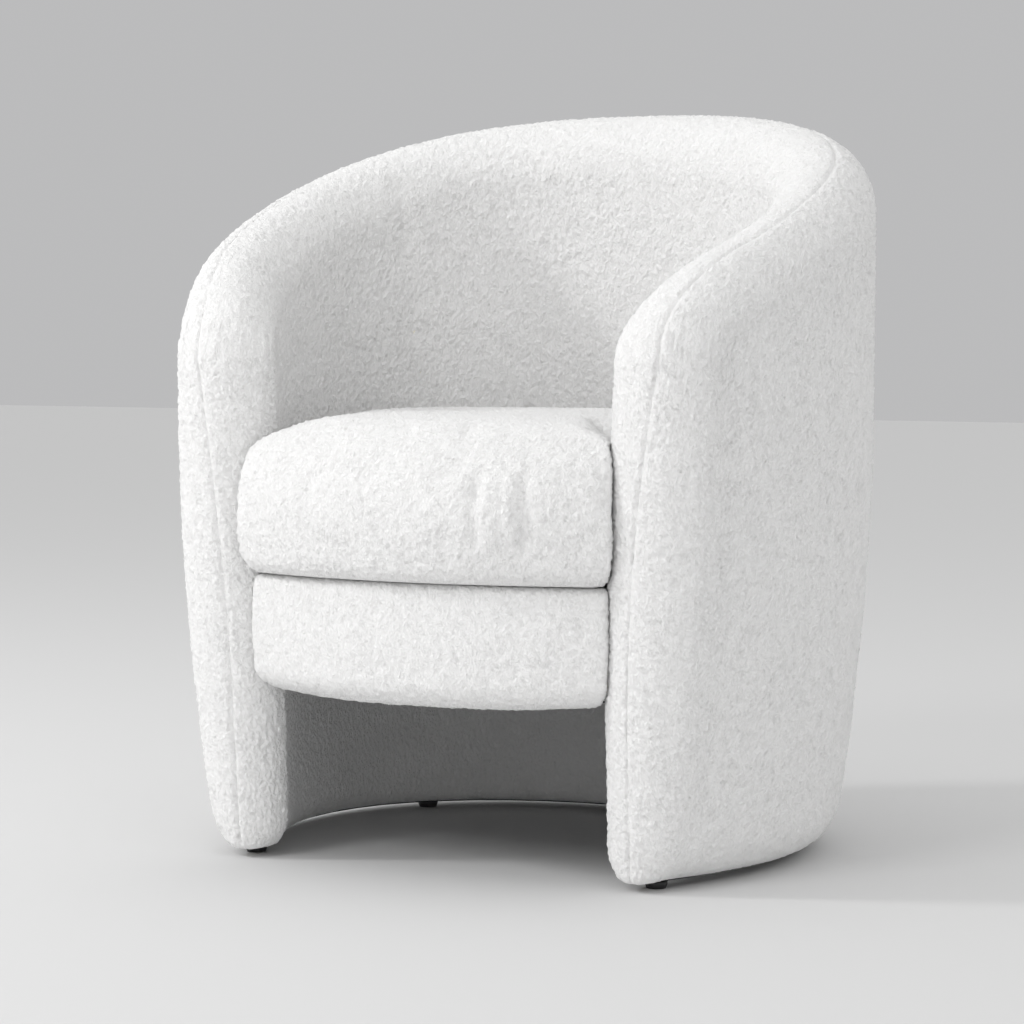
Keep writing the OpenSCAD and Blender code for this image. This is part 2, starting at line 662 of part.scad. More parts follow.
// Foam round the rails, under the cover's upright face
foam_inset = cover_thickness + frame_gap;
module platform_foam() {
  foam_low = band_bottom + band_edge_radius;
  color(foam) difference() {
    translate([0, 0, foam_low]) linear_extrude(deck_height - deck_edge_radius - foam_low) difference() {
      polygon(flat(platform_ring(foam_inset, bolt_z)));
      polygon(flat(platform_ring(foam_inset + platform_foam_thickness, bolt_z)));
    }
    bolt_holes(bolt_stations, bolt_hole_diameter);
  }
}

// Rails inside the platform. The side rails run forward to butt against the front rail.
dust_cloth_thickness = 1;
rail_low = band_bottom + 3 * cover_thickness;
rail_top = rail_low + rail_height;
front_inset = rail_inset + 2 * frame_gap;
side_rail_half = inner_half(bolt_z) - arm_draw_in - seat_gap - rail_inset;
side_rail_inner_half = side_rail_half - rail_thickness;
front_rail_parts = 12;
function rail_back_y(x) = bow_y(x, platform_nose) + front_inset + rail_thickness + seat_gap;
function rail_line(span, inset) = [for (s = span)
  on_chord(s, function (q) wall_from_inside(q, bolt_z, -seat_gap - inset))];
module platform_rail(points) {
  color(timber) difference() {
    translate([0, 0, rail_low]) linear_extrude(rail_height) intersection() {
      polygon(flat(points));
      polygon(flat(platform_ring(foam_inset + platform_foam_thickness + seat_gap, bolt_z)));
    }
    bolt_holes(bolt_stations, bolt_hole_diameter);
  }
}

module platform_front_rail() {
  xs = [for (i = [0:front_rail_parts]) side_rail_half * (2 * i / front_rail_parts - 1)];
  platform_rail(concat([for (x = xs) [x, bow_y(x, platform_nose) + front_inset]],
    [for (x = reversed(xs)) [x, bow_y(x, platform_nose) + front_inset + rail_thickness]]));
}

module platform_side_rail_left() {
  span = span_between(arm_shares[1], rear_rib_station);
  platform_rail(concat([[-side_rail_half, rail_back_y(side_rail_half)]],
    rail_line(span, rail_inset), rail_line(reversed(span), rail_inset + rail_thickness),
    [[-side_rail_inner_half, rail_back_y(side_rail_inner_half)]]));
}

module platform_side_rail_right() {
  mirror([1, 0, 0]) platform_side_rail_left();
}

module platform_back_rail() {
  span = span_between(rear_rib_station, last_station - rear_rib_station);
  platform_rail(concat(rail_line(span, rail_inset), rail_line(reversed(span), rail_inset + rail_thickness)));
}

// Glued blocks inside the joints of the rails
block_width = 34;
block_thickness = 20;
block_station_step = 0.1;
module corner_blocks() {
  x = side_rail_inner_half - seat_gap;
  y = rail_back_y(x);
  rear = [rear_rib_station - block_station_step, rear_rib_station, rear_rib_station + block_station_step];
  rear_inset = rail_inset + rail_thickness + seat_gap;
  color(timber) translate([0, 0, rail_low]) linear_extrude(rail_height - spring_wire) for (m = [0, 1]) mirror([m, 0]) {
    polygon([[x, y], [x, y + block_width], [x - block_width, rail_back_y(x - block_width)]]);
    polygon(flat(concat(rail_line(rear, rear_inset), rail_line(reversed(rear), rear_inset + block_thickness))));
  }
}

// Zigzag springs from the front rail to the back rail, with a clip over each end rod
spring_z = rail_top + seat_gap + spring_wire / 2;
clip_length = 16;
clip_wall = 1.2;
clip_tab = 9;
rear_clip_share = 0.6;
spring_xs = [for (i = [0:spring_count - 1]) side_rail_inner_half * ((2 * i + 1) / spring_count - 1)];
function spring_front(x) = bow_y(x, platform_nose) + front_inset + rail_thickness / 2;
function spring_back(x) = turn_y + (inner_reach(bolt_z) - turn_y)
  * pow(1 - pow(abs(x) / inner_half(bolt_z), plan_power), 1 / plan_power) - rail_inset - rail_thickness * rear_clip_share;
module rod(from, length) {
  translate(from) rotate([0, 90, 0]) cylinder(h = length, d = spring_wire, $fn = 8);
}

module zigzag_springs() {
  color("gray") for (x = spring_xs) {
    first = spring_front(x);
    pitch = (spring_back(x) - first) / (spring_rods - 1);
    for (j = [0:spring_rods - 1]) rod([x - spring_reach, first + j * pitch, spring_z], 2 * spring_reach);
    for (j = [0:spring_rods - 2]) let (side = j % 2 == 0 ? 1 : -1)
      translate([x + side * spring_reach, first + (j + 0.5) * pitch, spring_z]) intersection() {
        rotate_extrude($fn = 16) translate([pitch / 2, 0]) circle(d = spring_wire, $fn = 8);
        translate([side > 0 ? 0 : -pitch, -pitch, -spring_wire]) cube([pitch, 2 * pitch, 2 * spring_wire]);
      }
  }
}

module spring_clip(x, y) {
  bore = spring_wire / 2 + seat_gap;
  translate([x - clip_length / 2, y, 0]) rotate([90, 0, 90]) linear_extrude(clip_length) difference() {
    union() {
      translate([0, spring_z]) circle(bore + clip_wall);
      translate([-clip_tab, rail_top]) square([2 * clip_tab, clip_wall]);
    }
    translate([0, spring_z]) circle(bore);
    translate([-bore, rail_top - overrun - clip_wall]) square([2 * bore, spring_z - rail_top + overrun + clip_wall]);
    translate([-clip_tab - overrun, rail_top - clip_wall * 2]) square([2 * clip_tab + 2 * overrun, clip_wall * 2]);
  }
}

module spring_clips() {
  color("silver") for (x = spring_xs) {
    spring_clip(x, spring_front(x));
    spring_clip(x, spring_back(x));
  }
}

// Felt and foam pad over the springs, and dust cloth under the rails
pad_bottom = spring_z + spring_wire / 2 + clip_wall + seat_gap * 2;
module deck_pad() {
  color(foam) translate([0, 0, pad_bottom]) linear_extrude(deck_height - cover_thickness - seat_gap - pad_bottom)
    polygon(flat(platform_ring(rail_inset + seat_gap, bolt_z)));
}

module platform_dust_cloth() {
  color("dimgray") translate([0, 0, rail_low - seat_gap - dust_cloth_thickness]) linear_extrude(dust_cloth_thickness)
    polygon(flat(platform_ring(rail_inset + seat_gap, bolt_z)));
}

// Plastic glides, each screwed up into the bottom plate
glide_foot_diameter = 19;
glide_foot_height = 4;
glide_bore = 7.6;
glide_bore_depth = 4;
screw_head_height = 2.4;
shell_cloth_top = floor_gap - seat_gap;
glide_top = shell_cloth_top - dust_cloth_thickness - seat_gap;
module glides() {
  color("black") for (place = glide_places) translate([place[0], place[1], 0]) difference() {
    union() {
      cylinder(h = glide_foot_height, d1 = glide_foot_diameter, d2 = glide_diameter);
      translate([0, 0, glide_foot_height]) cylinder(h = glide_top - glide_foot_height, d = glide_diameter);
      cylinder(h = plate_bottom - seat_gap, d = glide_stem);
    }
    translate([0, 0, -overrun]) cylinder(h = plate_bottom + overrun, d = glide_screw_diameter + seat_gap);
    translate([0, 0, -overrun]) cylinder(h = glide_bore_depth + overrun, d = glide_bore);
  }
}

module glide_screws() {
  color("silver") for (place = glide_places) translate([place[0], place[1], glide_bore_depth - screw_head_height]) {
    cylinder(h = screw_head_height, d = glide_bore - 2 * seat_gap);
    cylinder(h = plate_bottom + glide_screw_grip - glide_bore_depth + screw_head_height - overrun,
      d = glide_screw_diameter - seat_gap);
  }
}

// Dust cloth under the shell's lower edge, tacked round between the two covers
module shell_dust_cloth() {
  color("dimgray") translate([0, 0, shell_cloth_top - dust_cloth_thickness]) linear_extrude(dust_cloth_thickness)
    difference() {
      polygon(flat(concat([for (s = stations) wall_from_inside(s, floor_gap, cover_thickness / 2)],
        [for (s = reversed(stations)) wall_from_outside(s, floor_gap, cover_thickness / 2)])));
      for (place = glide_places) translate([place[0], place[1]]) circle(d = glide_stem + 2 * seat_gap);
    }
}

// The loose cushion. Its profile lists shares of its height: inset from the outline, and height.
// The first seam ring is where the underside meets the boxing.
seam_ring = [0.04, 0.07];
underside_shares = [[0.3, 0], [0.17, 0.008], [0.09, 0.03], seam_ring];
cover_shares = [seam_ring, [0.005, 0.22], [0, 0.42], [0.03, 0.62], [0.1, 0.79], [0.22, 0.9], [0.42, 0.965], [0.7, 0.995]];
cushion_bottom = deck_height + rest_gap;
widest_share = 0.4;
cushion_outline_z = cushion_bottom + cushion_height * widest_share;
cushion_outline = seat_outline(cushion_outline_z, cushion_gap, cushion_nose, cushion_wrap_angles, cushion_bow_half);
function cushion_ring(p) = drawn_in(cushion_outline, cushion_nose, p[0], p[1]);
function to_size(shares) = [for (p = shares) [p[0] * cushion_height, cushion_bottom + p[1] * cushion_height]];
// A profile moved inward by the thickness of a layer
function layered(profile, layer) = [for (i = [0:len(profile) - 1])
  let (step = profile[min(len(profile) - 1, i + 1)] - profile[max(0, i - 1)])
  profile[i] + layer * [step[1], -step[0]] / norm(step)];
cover_profile = to_size(cover_shares);
underside_profile = to_size(underside_shares);
seam_step = [cover_thickness, 0];
module cushion_cover() {
  inner = layered(cover_profile, cover_thickness);
  color(cloth) ring_shell([for (p = cover_profile) cushion_ring(p)],
    [for (i = [0:len(inner) - 1]) cushion_ring(i == 0 ? cover_profile[0] + seam_step : inner[i])], true);
}

module cushion_underside() {
  inner = layered(underside_profile, cover_thickness);
  last = len(inner) - 1;
  down = [0, -rest_gap];
  color(cloth) ring_shell(
    [for (i = [0:last]) cushion_ring(i == last ? underside_profile[i] + down : underside_profile[i])],
    [for (i = [0:last]) cushion_ring(i == last ? underside_profile[i] + seam_step + down : inner[i])], false);
}

module cushion_core() {
  profile = concat([for (i = [0:len(underside_profile) - 2]) underside_profile[i]], cover_profile);
  color(foam) ring_solid([for (p = layered(profile, cover_thickness + 2 * seat_gap)) cushion_ring(p)]);
}

outside_cover();
inside_cover();
rim_roll();
outside_wadding();
outside_board();
inside_foam();
inside_board();
lower_inside_wadding();
bottom_plate();
top_rail_left();
top_rail_right();
top_rail_back();
arm_post_left();
arm_post_right();
side_rib_left();
side_rib_right();
rear_rib_left();
rear_rib_right();
back_rib_left();
back_rib_right();
cleat_left();
cleat_right();
cleat_back();
platform_cover();
platform_front_rail();
platform_side_rail_left();
platform_side_rail_right();
platform_back_rail();
corner_blocks();
platform_foam();
zigzag_springs();
spring_clips();
deck_pad();
platform_dust_cloth();
platform_bolts();
threaded_inserts();
glides();
glide_screws();
shell_dust_cloth();
cushion_cover();
cushion_underside();
cushion_core();
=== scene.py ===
# Tub chair in white looped cloth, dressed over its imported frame.
# Metres, +Z up, the chair faces -Y, and the floor is at z = 0.
import math

import bpy
import numpy as np
from mathutils import Matrix, Vector, kdtree, noise


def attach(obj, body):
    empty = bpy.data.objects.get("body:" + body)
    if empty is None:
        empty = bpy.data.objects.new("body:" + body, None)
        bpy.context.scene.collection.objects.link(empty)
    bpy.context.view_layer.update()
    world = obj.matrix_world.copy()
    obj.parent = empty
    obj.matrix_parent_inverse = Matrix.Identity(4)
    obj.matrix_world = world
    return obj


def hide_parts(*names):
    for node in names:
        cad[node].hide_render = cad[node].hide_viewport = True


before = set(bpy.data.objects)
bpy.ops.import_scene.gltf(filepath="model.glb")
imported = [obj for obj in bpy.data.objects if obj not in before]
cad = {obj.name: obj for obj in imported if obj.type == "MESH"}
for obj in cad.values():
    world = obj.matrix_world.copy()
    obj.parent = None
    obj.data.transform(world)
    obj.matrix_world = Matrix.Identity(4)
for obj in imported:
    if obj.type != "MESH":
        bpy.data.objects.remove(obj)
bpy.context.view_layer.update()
MM = 0.001
noise.seed_set(1)  # without it the noise follows the clock


# Timber and plywood of the frame. The bottom plate, top rails and cleats are bent or sawn plywood,
# the posts, ribs, platform rails and glue blocks are planed beech, all glued and screwed.
def new_finish(name, colour, roughness, **sockets):
    """A material with one shader, and the names of its parts for later use."""
    finish = bpy.data.materials.new(name)
    finish.use_nodes = True
    tree = finish.node_tree
    shader = tree.nodes["Principled BSDF"]
    shader.inputs["Base Color"].default_value = (*colour, 1)
    shader.inputs["Roughness"].default_value = roughness
    for socket, value in sockets.items():
        shader.inputs[socket.replace("_", " ")].default_value = value
    finish.diffuse_color = (*colour, 1)
    return finish, tree, shader


def add_node(tree, kind, inputs=(), **settings):
    """A node with its settings made and its inputs set to numbers or joined to other sockets."""
    node = tree.nodes.new(kind)
    for key, value in settings.items():
        setattr(node, key, value)
    for key, value in dict(inputs).items():
        socket = node.inputs[key]
        if isinstance(value, bpy.types.NodeSocket):
            tree.links.new(value, socket)
        else:
            socket.default_value = value
    return node


def noise_texture(tree, where, scale, detail, distortion=0.0):
    inputs = {"Vector": where, "Scale": scale, "Detail": detail, "Distortion": distortion}
    return add_node(tree, "ShaderNodeTexNoise", inputs).outputs["Fac"]


def two_tones(tree, shader, factor, dark, light, low=0.0, high=1.0):
    """Colours the shader between two tones as factor goes from low to high."""
    ramp = add_node(tree, "ShaderNodeValToRGB", {"Fac": factor})
    ramp.color_ramp.elements[0].position = low
    ramp.color_ramp.elements[0].color = (*dark, 1)
    ramp.color_ramp.elements[1].position = high
    ramp.color_ramp.elements[1].color = (*light, 1)
    tree.links.new(ramp.outputs["Color"], shader.inputs["Base Color"])


def add_bump(tree, shader, height, distance, strength):
    bump = add_node(tree, "ShaderNodeBump", {"Height": height, "Distance": distance, "Strength": strength})
    tree.links.new(bump.outputs["Normal"], shader.inputs["Normal"])


def place(tree, stretch=(1, 1, 1)):
    """Object coordinates, stretched along one direction for grain."""
    where = add_node(tree, "ShaderNodeTexCoord").outputs["Object"]
    return add_node(tree, "ShaderNodeMapping", {"Vector": where, "Scale": stretch}).outputs["Vector"]


def mottled(name, colour, roughness, dark, light, scale, detail, distortion=0.0, relief=None, **sockets):
    """Two close tones in fine mottling. The relief, where there is one, is its distance and strength."""
    finish, tree, shader = new_finish(name, colour, roughness, **sockets)
    specks = noise_texture(tree, place(tree), scale, detail, distortion)
    two_tones(tree, shader, specks, dark, light, 0.3, 0.7)
    if relief is not None:
        add_bump(tree, shader, specks, *relief)
    return finish


def wood(name, dark, light, stretch, ring_scale):
    finish, tree, shader = new_finish(name, light, 0.62)
    where = place(tree, stretch)
    rings = noise_texture(tree, where, ring_scale, 6, 1.6)
    pores = noise_texture(tree, where, ring_scale * 9, 2)
    mixed = add_node(tree, "ShaderNodeMath", {0: rings, 1: pores}, operation="ADD")
    two_tones(tree, shader, mixed.outputs[0], dark, light, 0.8, 1.25)
    add_bump(tree, shader, pores, 0.0004, 0.5)
    return finish


beech = wood("planed beech", (0.50, 0.33, 0.19), (0.68, 0.50, 0.32), (1, 1, 0.12), 60)
rail_beech = wood("planed beech rails", (0.50, 0.33, 0.19), (0.68, 0.50, 0.32), (0.2, 0.2, 1), 60)
ply = wood("bent plywood", (0.46, 0.31, 0.18), (0.64, 0.47, 0.30), (0.25, 0.25, 1.5), 45)


def paint(finish, names):
    for name in names:
        cad[name].data.materials.clear()
        cad[name].data.materials.append(finish)


PLY_NODES = ("bottom_plate", "top_rail_left", "top_rail_right", "top_rail_back",
             "cleat_left", "cleat_right", "cleat_back")
UPRIGHT_NODES = ("arm_post_left", "arm_post_right", "side_rib_left", "side_rib_right",
                 "rear_rib_left", "rear_rib_right", "back_rib_left", "back_rib_right")
RAIL_NODES = ("platform_front_rail", "platform_side_rail_left", "platform_side_rail_right",
              "platform_back_rail", "corner_blocks")
paint(ply, PLY_NODES)
paint(beech, UPRIGHT_NODES)
paint(rail_beech, RAIL_NODES)


# Thin bent hardboard is stapled round the uprights, outside and inside, to carry the padding.
# It is brown pressed fibre, smooth on its face and faintly mottled.
hardboard = mottled("pressed hardboard", (0.30, 0.19, 0.11), 0.55, (0.22, 0.135, 0.075), (0.37, 0.24, 0.14),
                    scale=900, detail=4, relief=(0.0002, 0.4))
paint(hardboard, ("outside_board", "inside_board"))


# Foam and wadding: cut polyurethane foam on the inside face, the rim and the platform, and a layer
# of polyester wadding under the outside cover. They are glued down and don't show.
foam, tree, shader = new_finish("cut foam", (0.80, 0.76, 0.62), 0.95)
cells = add_node(tree, "ShaderNodeTexVoronoi", {"Vector": place(tree), "Scale": 900})
two_tones(tree, shader, cells.outputs["Distance"], (0.66, 0.61, 0.46), (0.84, 0.80, 0.67), 0.0, 0.6)
add_bump(tree, shader, cells.outputs["Distance"], 0.0006, 0.7)
wadding = mottled("polyester wadding", (0.82, 0.82, 0.80), 1.0, (0.70, 0.70, 0.68), (0.86, 0.86, 0.84),
                  scale=130, detail=7, distortion=2.5, relief=(0.002, 0.8))
paint(foam, ("inside_foam", "rim_roll", "platform_foam", "deck_pad", "cushion_core"))
paint(wadding, ("outside_wadding", "lower_inside_wadding"))


# Outside cover: white looped cloth in one wrap round the shell, from one arm front to the other.
# It is pulled down over the wadding, tacked under the lower edge, and sewn to the inside cover
# along a plain seam that runs up each arm front and round the rim.
OVERALL_HEIGHT, SHELL_WIDTH, SHELL_DEPTH = 770, 696, 583
ARM_WALL, BACK_WALL, BACK_SWEEP, PLAN_POWER = 101, 125, 341, 2.18
ARM_DRAW_IN, INSIDE_DRAW_IN, SHOULDER_HEIGHT, OUTER_TAPER = 52, 56, 460, 39
INNER_TAPER, ARM_FULLNESS, FLOOR_GAP = 9.6, 7, 8.5
OUTER_EDGE, INNER_EDGE, FRONT_EDGE = (30, 44), (24, 34), (9, 9)
RIM_FALL, RIM_KNEE, RIM_KNEE_ROUND = 0.446, 47, 259
CORNER_LENGTH, CORNER_HEIGHT, FRONT_SETBACK, SETBACK_POWER = 54, 25, 10, 1.7
FRONT_ROUND, RIM_ROUND, ROUND_BLEND = 0.91, 1.09, 0.375
CUSHION_OVERHANG = 48
SEAM_ANGLE_FOOT, SEAM_ANGLE_MIDDLE, SEAM_ANGLE_TOP = 93, 104.6, 80.3
RIM_PLAN_HEIGHT = 600
BACK_Y = (SHELL_DEPTH + CUSHION_OVERHANG) / 2
TIP_Y = BACK_Y - SHELL_DEPTH
END_Y = TIP_Y + FRONT_ROUND * ARM_WALL / 2
TURN_Y = BACK_Y - BACK_SWEEP
CREST_Z = OVERALL_HEIGHT - RIM_ROUND * BACK_WALL / 2


def rim_drop(y):
    ahead = BACK_Y - RIM_KNEE - y
    return RIM_FALL * (ahead + np.sqrt(ahead ** 2 + RIM_KNEE_ROUND ** 2)) / 2


def rim_height(y):
    """Height of the wall's middle line under the rim, at a depth y."""
    corner = np.clip((END_Y + CORNER_LENGTH - y) / CORNER_LENGTH, 0, 1)
    return (CREST_Z - rim_drop(y) + rim_drop(BACK_Y - BACK_WALL / 2)
            - CORNER_HEIGHT * (1 - np.sqrt(1 - corner ** 2)))


END_TOP = float(rim_height(END_Y))


def edge_in(z, edge):
    """How far a rounded bottom edge draws in at a height."""
    width, height = edge
    low = 1 - np.clip((z - FLOOR_GAP) / height, 0, 1)
    return width * (1 - np.sqrt(1 - low ** 2))


def taper(z):
    return (np.clip(SHOULDER_HEIGHT - z, 0, None) / SHOULDER_HEIGHT) ** 2


def fullness(z):
    up = np.clip(z / END_TOP, 0, 1)
    return 4 * up * (1 - up)


def front_y(z):
    return END_Y + FRONT_SETBACK * (np.clip(END_TOP - z, 0, None) / END_TOP) ** SETBACK_POWER


def plan_point(station, z, half, reach, draw_in):
    """Points of the wall. Stations run from 0 at the left arm's front, by 2 at the back, to 4."""
    q = np.where(station <= 2, station, 4 - station)
    q, z, half, reach = np.broadcast_arrays(q, z, half, reach)
    front = front_y(z)
    turn = np.clip(q - 1, 0, 1) * math.pi / 2
    power = 2 / PLAN_POWER
    x = np.where(q <= 1, half - draw_in * (1 - q) ** 2, half * np.abs(np.cos(turn)) ** power)
    y = np.where(q <= 1, front + (TURN_Y - front) * q,
                 TURN_Y + (reach - TURN_Y) * np.abs(np.sin(turn)) ** power)
    side = np.where(np.broadcast_to(station, x.shape) < 2, -1, 1)
    return np.stack([x * side, y, z], -1)


def outer_face(station, z):
    drawn = OUTER_TAPER * taper(z) + edge_in(z, OUTER_EDGE)
    return plan_point(station, z, SHELL_WIDTH / 2 - drawn, BACK_Y - drawn, ARM_DRAW_IN)


def inner_face(station, z):
    drawn = edge_in(z, INNER_EDGE) - INNER_TAPER * taper(z)
    return plan_point(station, z, SHELL_WIDTH / 2 - ARM_WALL + drawn - ARM_FULLNESS * fullness(z),
                      BACK_Y - BACK_WALL + drawn, INSIDE_DRAW_IN)


def top_height(station):
    middle = (outer_face(station, OVERALL_HEIGHT) + inner_face(station, OVERALL_HEIGHT)) / 2
    return rim_height(middle[..., 1])


def unit(vectors):
    return vectors / np.linalg.norm(vectors, axis=-1, keepdims=True)


def even_steps(points, step):
    """Distances at even steps along a line of points, and the distance of each of its points."""
    run = np.concatenate([[0], np.cumsum(np.linalg.norm(np.diff(points, axis=0), axis=1))])
    count = max(2, round(run[-1] / step))
    return np.linspace(0, run[-1], count + 1), run


LOOP_STEP, LIP_STEPS, EASE_REACH = 2.4, 4, 20
# Stations at even steps along the rim, so that the cloth's facets are all of one size
fine_stations = np.linspace(0, 4, 4001)
rim_plan = (outer_face(fine_stations, RIM_PLAN_HEIGHT) + inner_face(fine_stations, RIM_PLAN_HEIGHT)) / 2
rim_line = np.column_stack([rim_plan[:, :2], top_height(fine_stations)])
even, run = even_steps(rim_line, LOOP_STEP)
shell_stations = np.interp(even, run, fine_stations)
shell_rows = np.linspace(0, 1, round((OVERALL_HEIGHT - FLOOR_GAP) * 0.86 / LOOP_STEP) + 1)


def seam_angle(z):
    """Where the seam runs round the rounded edge, in degrees from the outer face."""
    up = np.clip(z / END_TOP, 0, 1)
    return (SEAM_ANGLE_FOOT * (1 - up) * (1 - 2 * up) + SEAM_ANGLE_MIDDLE * 4 * up * (1 - up)
            + SEAM_ANGLE_TOP * up * (2 * up - 1))


def free_edge():
    """Stations and heights up the left arm's front, along the rim and down the right arm's front."""
    rows = FLOOR_GAP + (END_TOP - FLOOR_GAP) * shell_rows
    heights = np.concatenate([rows[:-1], top_height(shell_stations), rows[-2::-1]])
    stations = np.concatenate([np.zeros(len(rows) - 1), shell_stations, np.full(len(rows) - 1, 4.0)])
    return stations, heights


edge_stations, edge_heights = free_edge()
edge_outer = outer_face(edge_stations, edge_heights)
edge_inner = inner_face(edge_stations, edge_heights)
edge_middle = (edge_outer + edge_inner) / 2
edge_across = unit(edge_outer - edge_inner)
edge_half = np.linalg.norm(edge_outer - edge_inner, axis=1) / 2
along = np.gradient(edge_middle, axis=0)
edge_outward = unit(np.cross(along, edge_across))
q = np.where(edge_stations <= 2, edge_stations, 4 - edge_stations)
edge_reach = ((edge_half + (edge_in(edge_heights, OUTER_EDGE) + edge_in(edge_heights, INNER_EDGE)) / 2)
              * (FRONT_ROUND + (RIM_ROUND - FRONT_ROUND) * np.clip(q / ROUND_BLEND, 0, 1))
              - edge_in(edge_heights, FRONT_EDGE))
edge_seam = np.radians(seam_angle(edge_middle[:, 2]))


def ease_corners(grid, strip, softness):
    """Rounds the corner where each arm's front meets the wall's face. Softness counts points."""
    reach = EASE_REACH
    rows, order = grid.shape[1] - 1, np.arange(-reach, reach + 1)
    blur = np.exp(-((order[:, None] - order[None, :]) / softness) ** 2 / 2)
    blur /= blur.sum(1, keepdims=True)
    share = 0.5 * (1 + np.cos(math.pi * order / reach))
    fade = np.clip((rows - np.arange(rows)) / 16, 0, 1)
    for wall, front in ((grid, strip[:rows]), (grid[::-1], strip[:-rows - 1:-1])):
        line = np.concatenate([front[:, reach - 1::-1], wall[:reach + 1, :rows].swapaxes(0, 1)], 1)
        line += (blur @ line - line) * share[None, :, None] * fade[:, None, None]
        front[:, reach - 1::-1] = line[:, :reach]
        wall[:reach + 1, :rows] = line[:, reach:].swapaxes(0, 1)


def wall_cloth(outside):
    """One cover: its face of the wall, its share of the rounded free edge, and its turned-in lower edge.

    Gives its points, its faces, the faces' corners on a flat sheet, and the numbers of its points along
    the seam.
    """
    face = outer_face if outside else inner_face
    station = shell_stations[:, None]
    top = top_height(shell_stations)[:, None]
    z = FLOOR_GAP + (top - FLOOR_GAP) * shell_rows[None, :]
    grid = face(np.broadcast_to(station, z.shape), z)
    columns, rows = z.shape
    steps = round(float(np.max(edge_half)) * 1.6 / LOOP_STEP)
    share = np.linspace(0, 1, steps + 1)[None, 1:]
    seam = edge_seam[:, None]
    angle = seam * share if outside else math.pi - (math.pi - seam) * share
    strip = (edge_middle[:, None] + edge_across[:, None] * (edge_half[:, None] * np.cos(angle))[..., None]
             + edge_outward[:, None] * (edge_reach[:, None] * np.sin(angle))[..., None])
    ease_corners(grid, strip, 7.0 if outside else 1.6)
    first = np.concatenate([np.arange(rows - 1), np.arange(columns) * rows + rows - 1,
                            (columns - 1) * rows + np.arange(rows - 2, -1, -1)])
    ids = np.arange(columns * rows).reshape(columns, rows)
    strip_ids = columns * rows + np.arange(strip.shape[0] * steps).reshape(-1, steps)
    strip_ids = np.column_stack([first, strip_ids])
    low = np.concatenate([strip_ids[0, :0:-1], ids[:, 0], strip_ids[-1, 1:]])
    points = np.concatenate([grid.reshape(-1, 3), strip.reshape(-1, 3)])
    foot = np.full(len(shell_stations), FLOOR_GAP)
    middle = (outer_face(shell_stations, foot) + inner_face(shell_stations, foot)) / 2
    middle = np.concatenate([np.repeat(middle[:1], steps, 0), middle, np.repeat(middle[-1:], steps, 0)])
    inward = unit(middle - points[low])
    lip = points[low][None] + inward[None] * np.arange(1, LIP_STEPS + 1)[:, None, None] * LOOP_STEP * 1.5
    lip_ids = len(points) + np.arange(LIP_STEPS * len(low)).reshape(LIP_STEPS, -1)
    lip_ids = np.concatenate([low[None], lip_ids]).T
    points = np.concatenate([points, lip.reshape(-1, 3)])
    faces, corners = [], []
    for sheet, bottom, high in ((ids, 0.05, 0.38), (strip_ids, 0.45, 0.05), (lip_ids[:, ::-1], 0, 0.03)):
        u, v = (np.linspace(0, 1, count) for count in sheet.shape)
        flat = np.stack(np.broadcast_arrays(u[:, None], bottom + high * v[None, :]), -1)
        for of_sheet, table in ((sheet, faces), (flat, corners)):
            around = [of_sheet[:-1, :-1], of_sheet[1:, :-1], of_sheet[1:, 1:], of_sheet[:-1, 1:]]
            table.append(np.stack(around, 2).reshape((-1, 4) + of_sheet.shape[2:]))
    turn_round = slice(None, None, -1) if outside else slice(None)
    faces, corners = np.concatenate(faces)[:, turn_round], np.concatenate(corners)[:, turn_round]
    return points, faces, corners, strip_ids[:, -1]


def mesh_of(name, points, faces, scale=MM, corners=None):
    mesh = bpy.data.meshes.new(name)
    mesh.from_pydata((points * scale).tolist(), [], faces if isinstance(faces, list) else faces.tolist())
    mesh.polygons.foreach_set("use_smooth", np.ones(len(mesh.polygons), bool))
    if corners is not None:
        mesh.uv_layers.new(name="OFBake").data.foreach_set("uv", corners.ravel())
    mesh.update()
    piece = bpy.data.objects.new(name, mesh)
    bpy.context.scene.collection.objects.link(piece)
    return piece


def points_of(piece):
    flat = np.empty(len(piece.data.vertices) * 3)
    piece.data.vertices.foreach_get("co", flat)
    return flat.reshape(-1, 3)


def normals_of(piece):
    flat = np.empty(len(piece.data.vertices) * 3)
    piece.data.vertices.foreach_get("normal", flat)
    return flat.reshape(-1, 3)


def set_points(piece, points):
    piece.data.vertices.foreach_set("co", points.ravel())
    piece.data.update()


def near_line(points, line, reach):
    """Distance of each point to a line of points, up to reach, and the nearest point's number."""
    tree = kdtree.KDTree(len(line))
    for i, p in enumerate(line):
        tree.insert(p, i)
    tree.balance()
    distance = np.full(len(points), float(reach))
    nearest = np.zeros(len(points), int)
    low, high = line.min(0) - reach, line.max(0) + reach
    for i in np.nonzero(np.all((points > low) & (points < high), axis=1))[0]:
        _, index, away = tree.find(points[i])
        if away < reach:
            distance[i], nearest[i] = away, index
    return distance, nearest


LOOP_SIZE, LOOP_HEIGHT = 5.2, 1.75
WAVE_SIZE, WAVE_HEIGHT = 90, 0.8
SEAM_DEPTH = 2.2


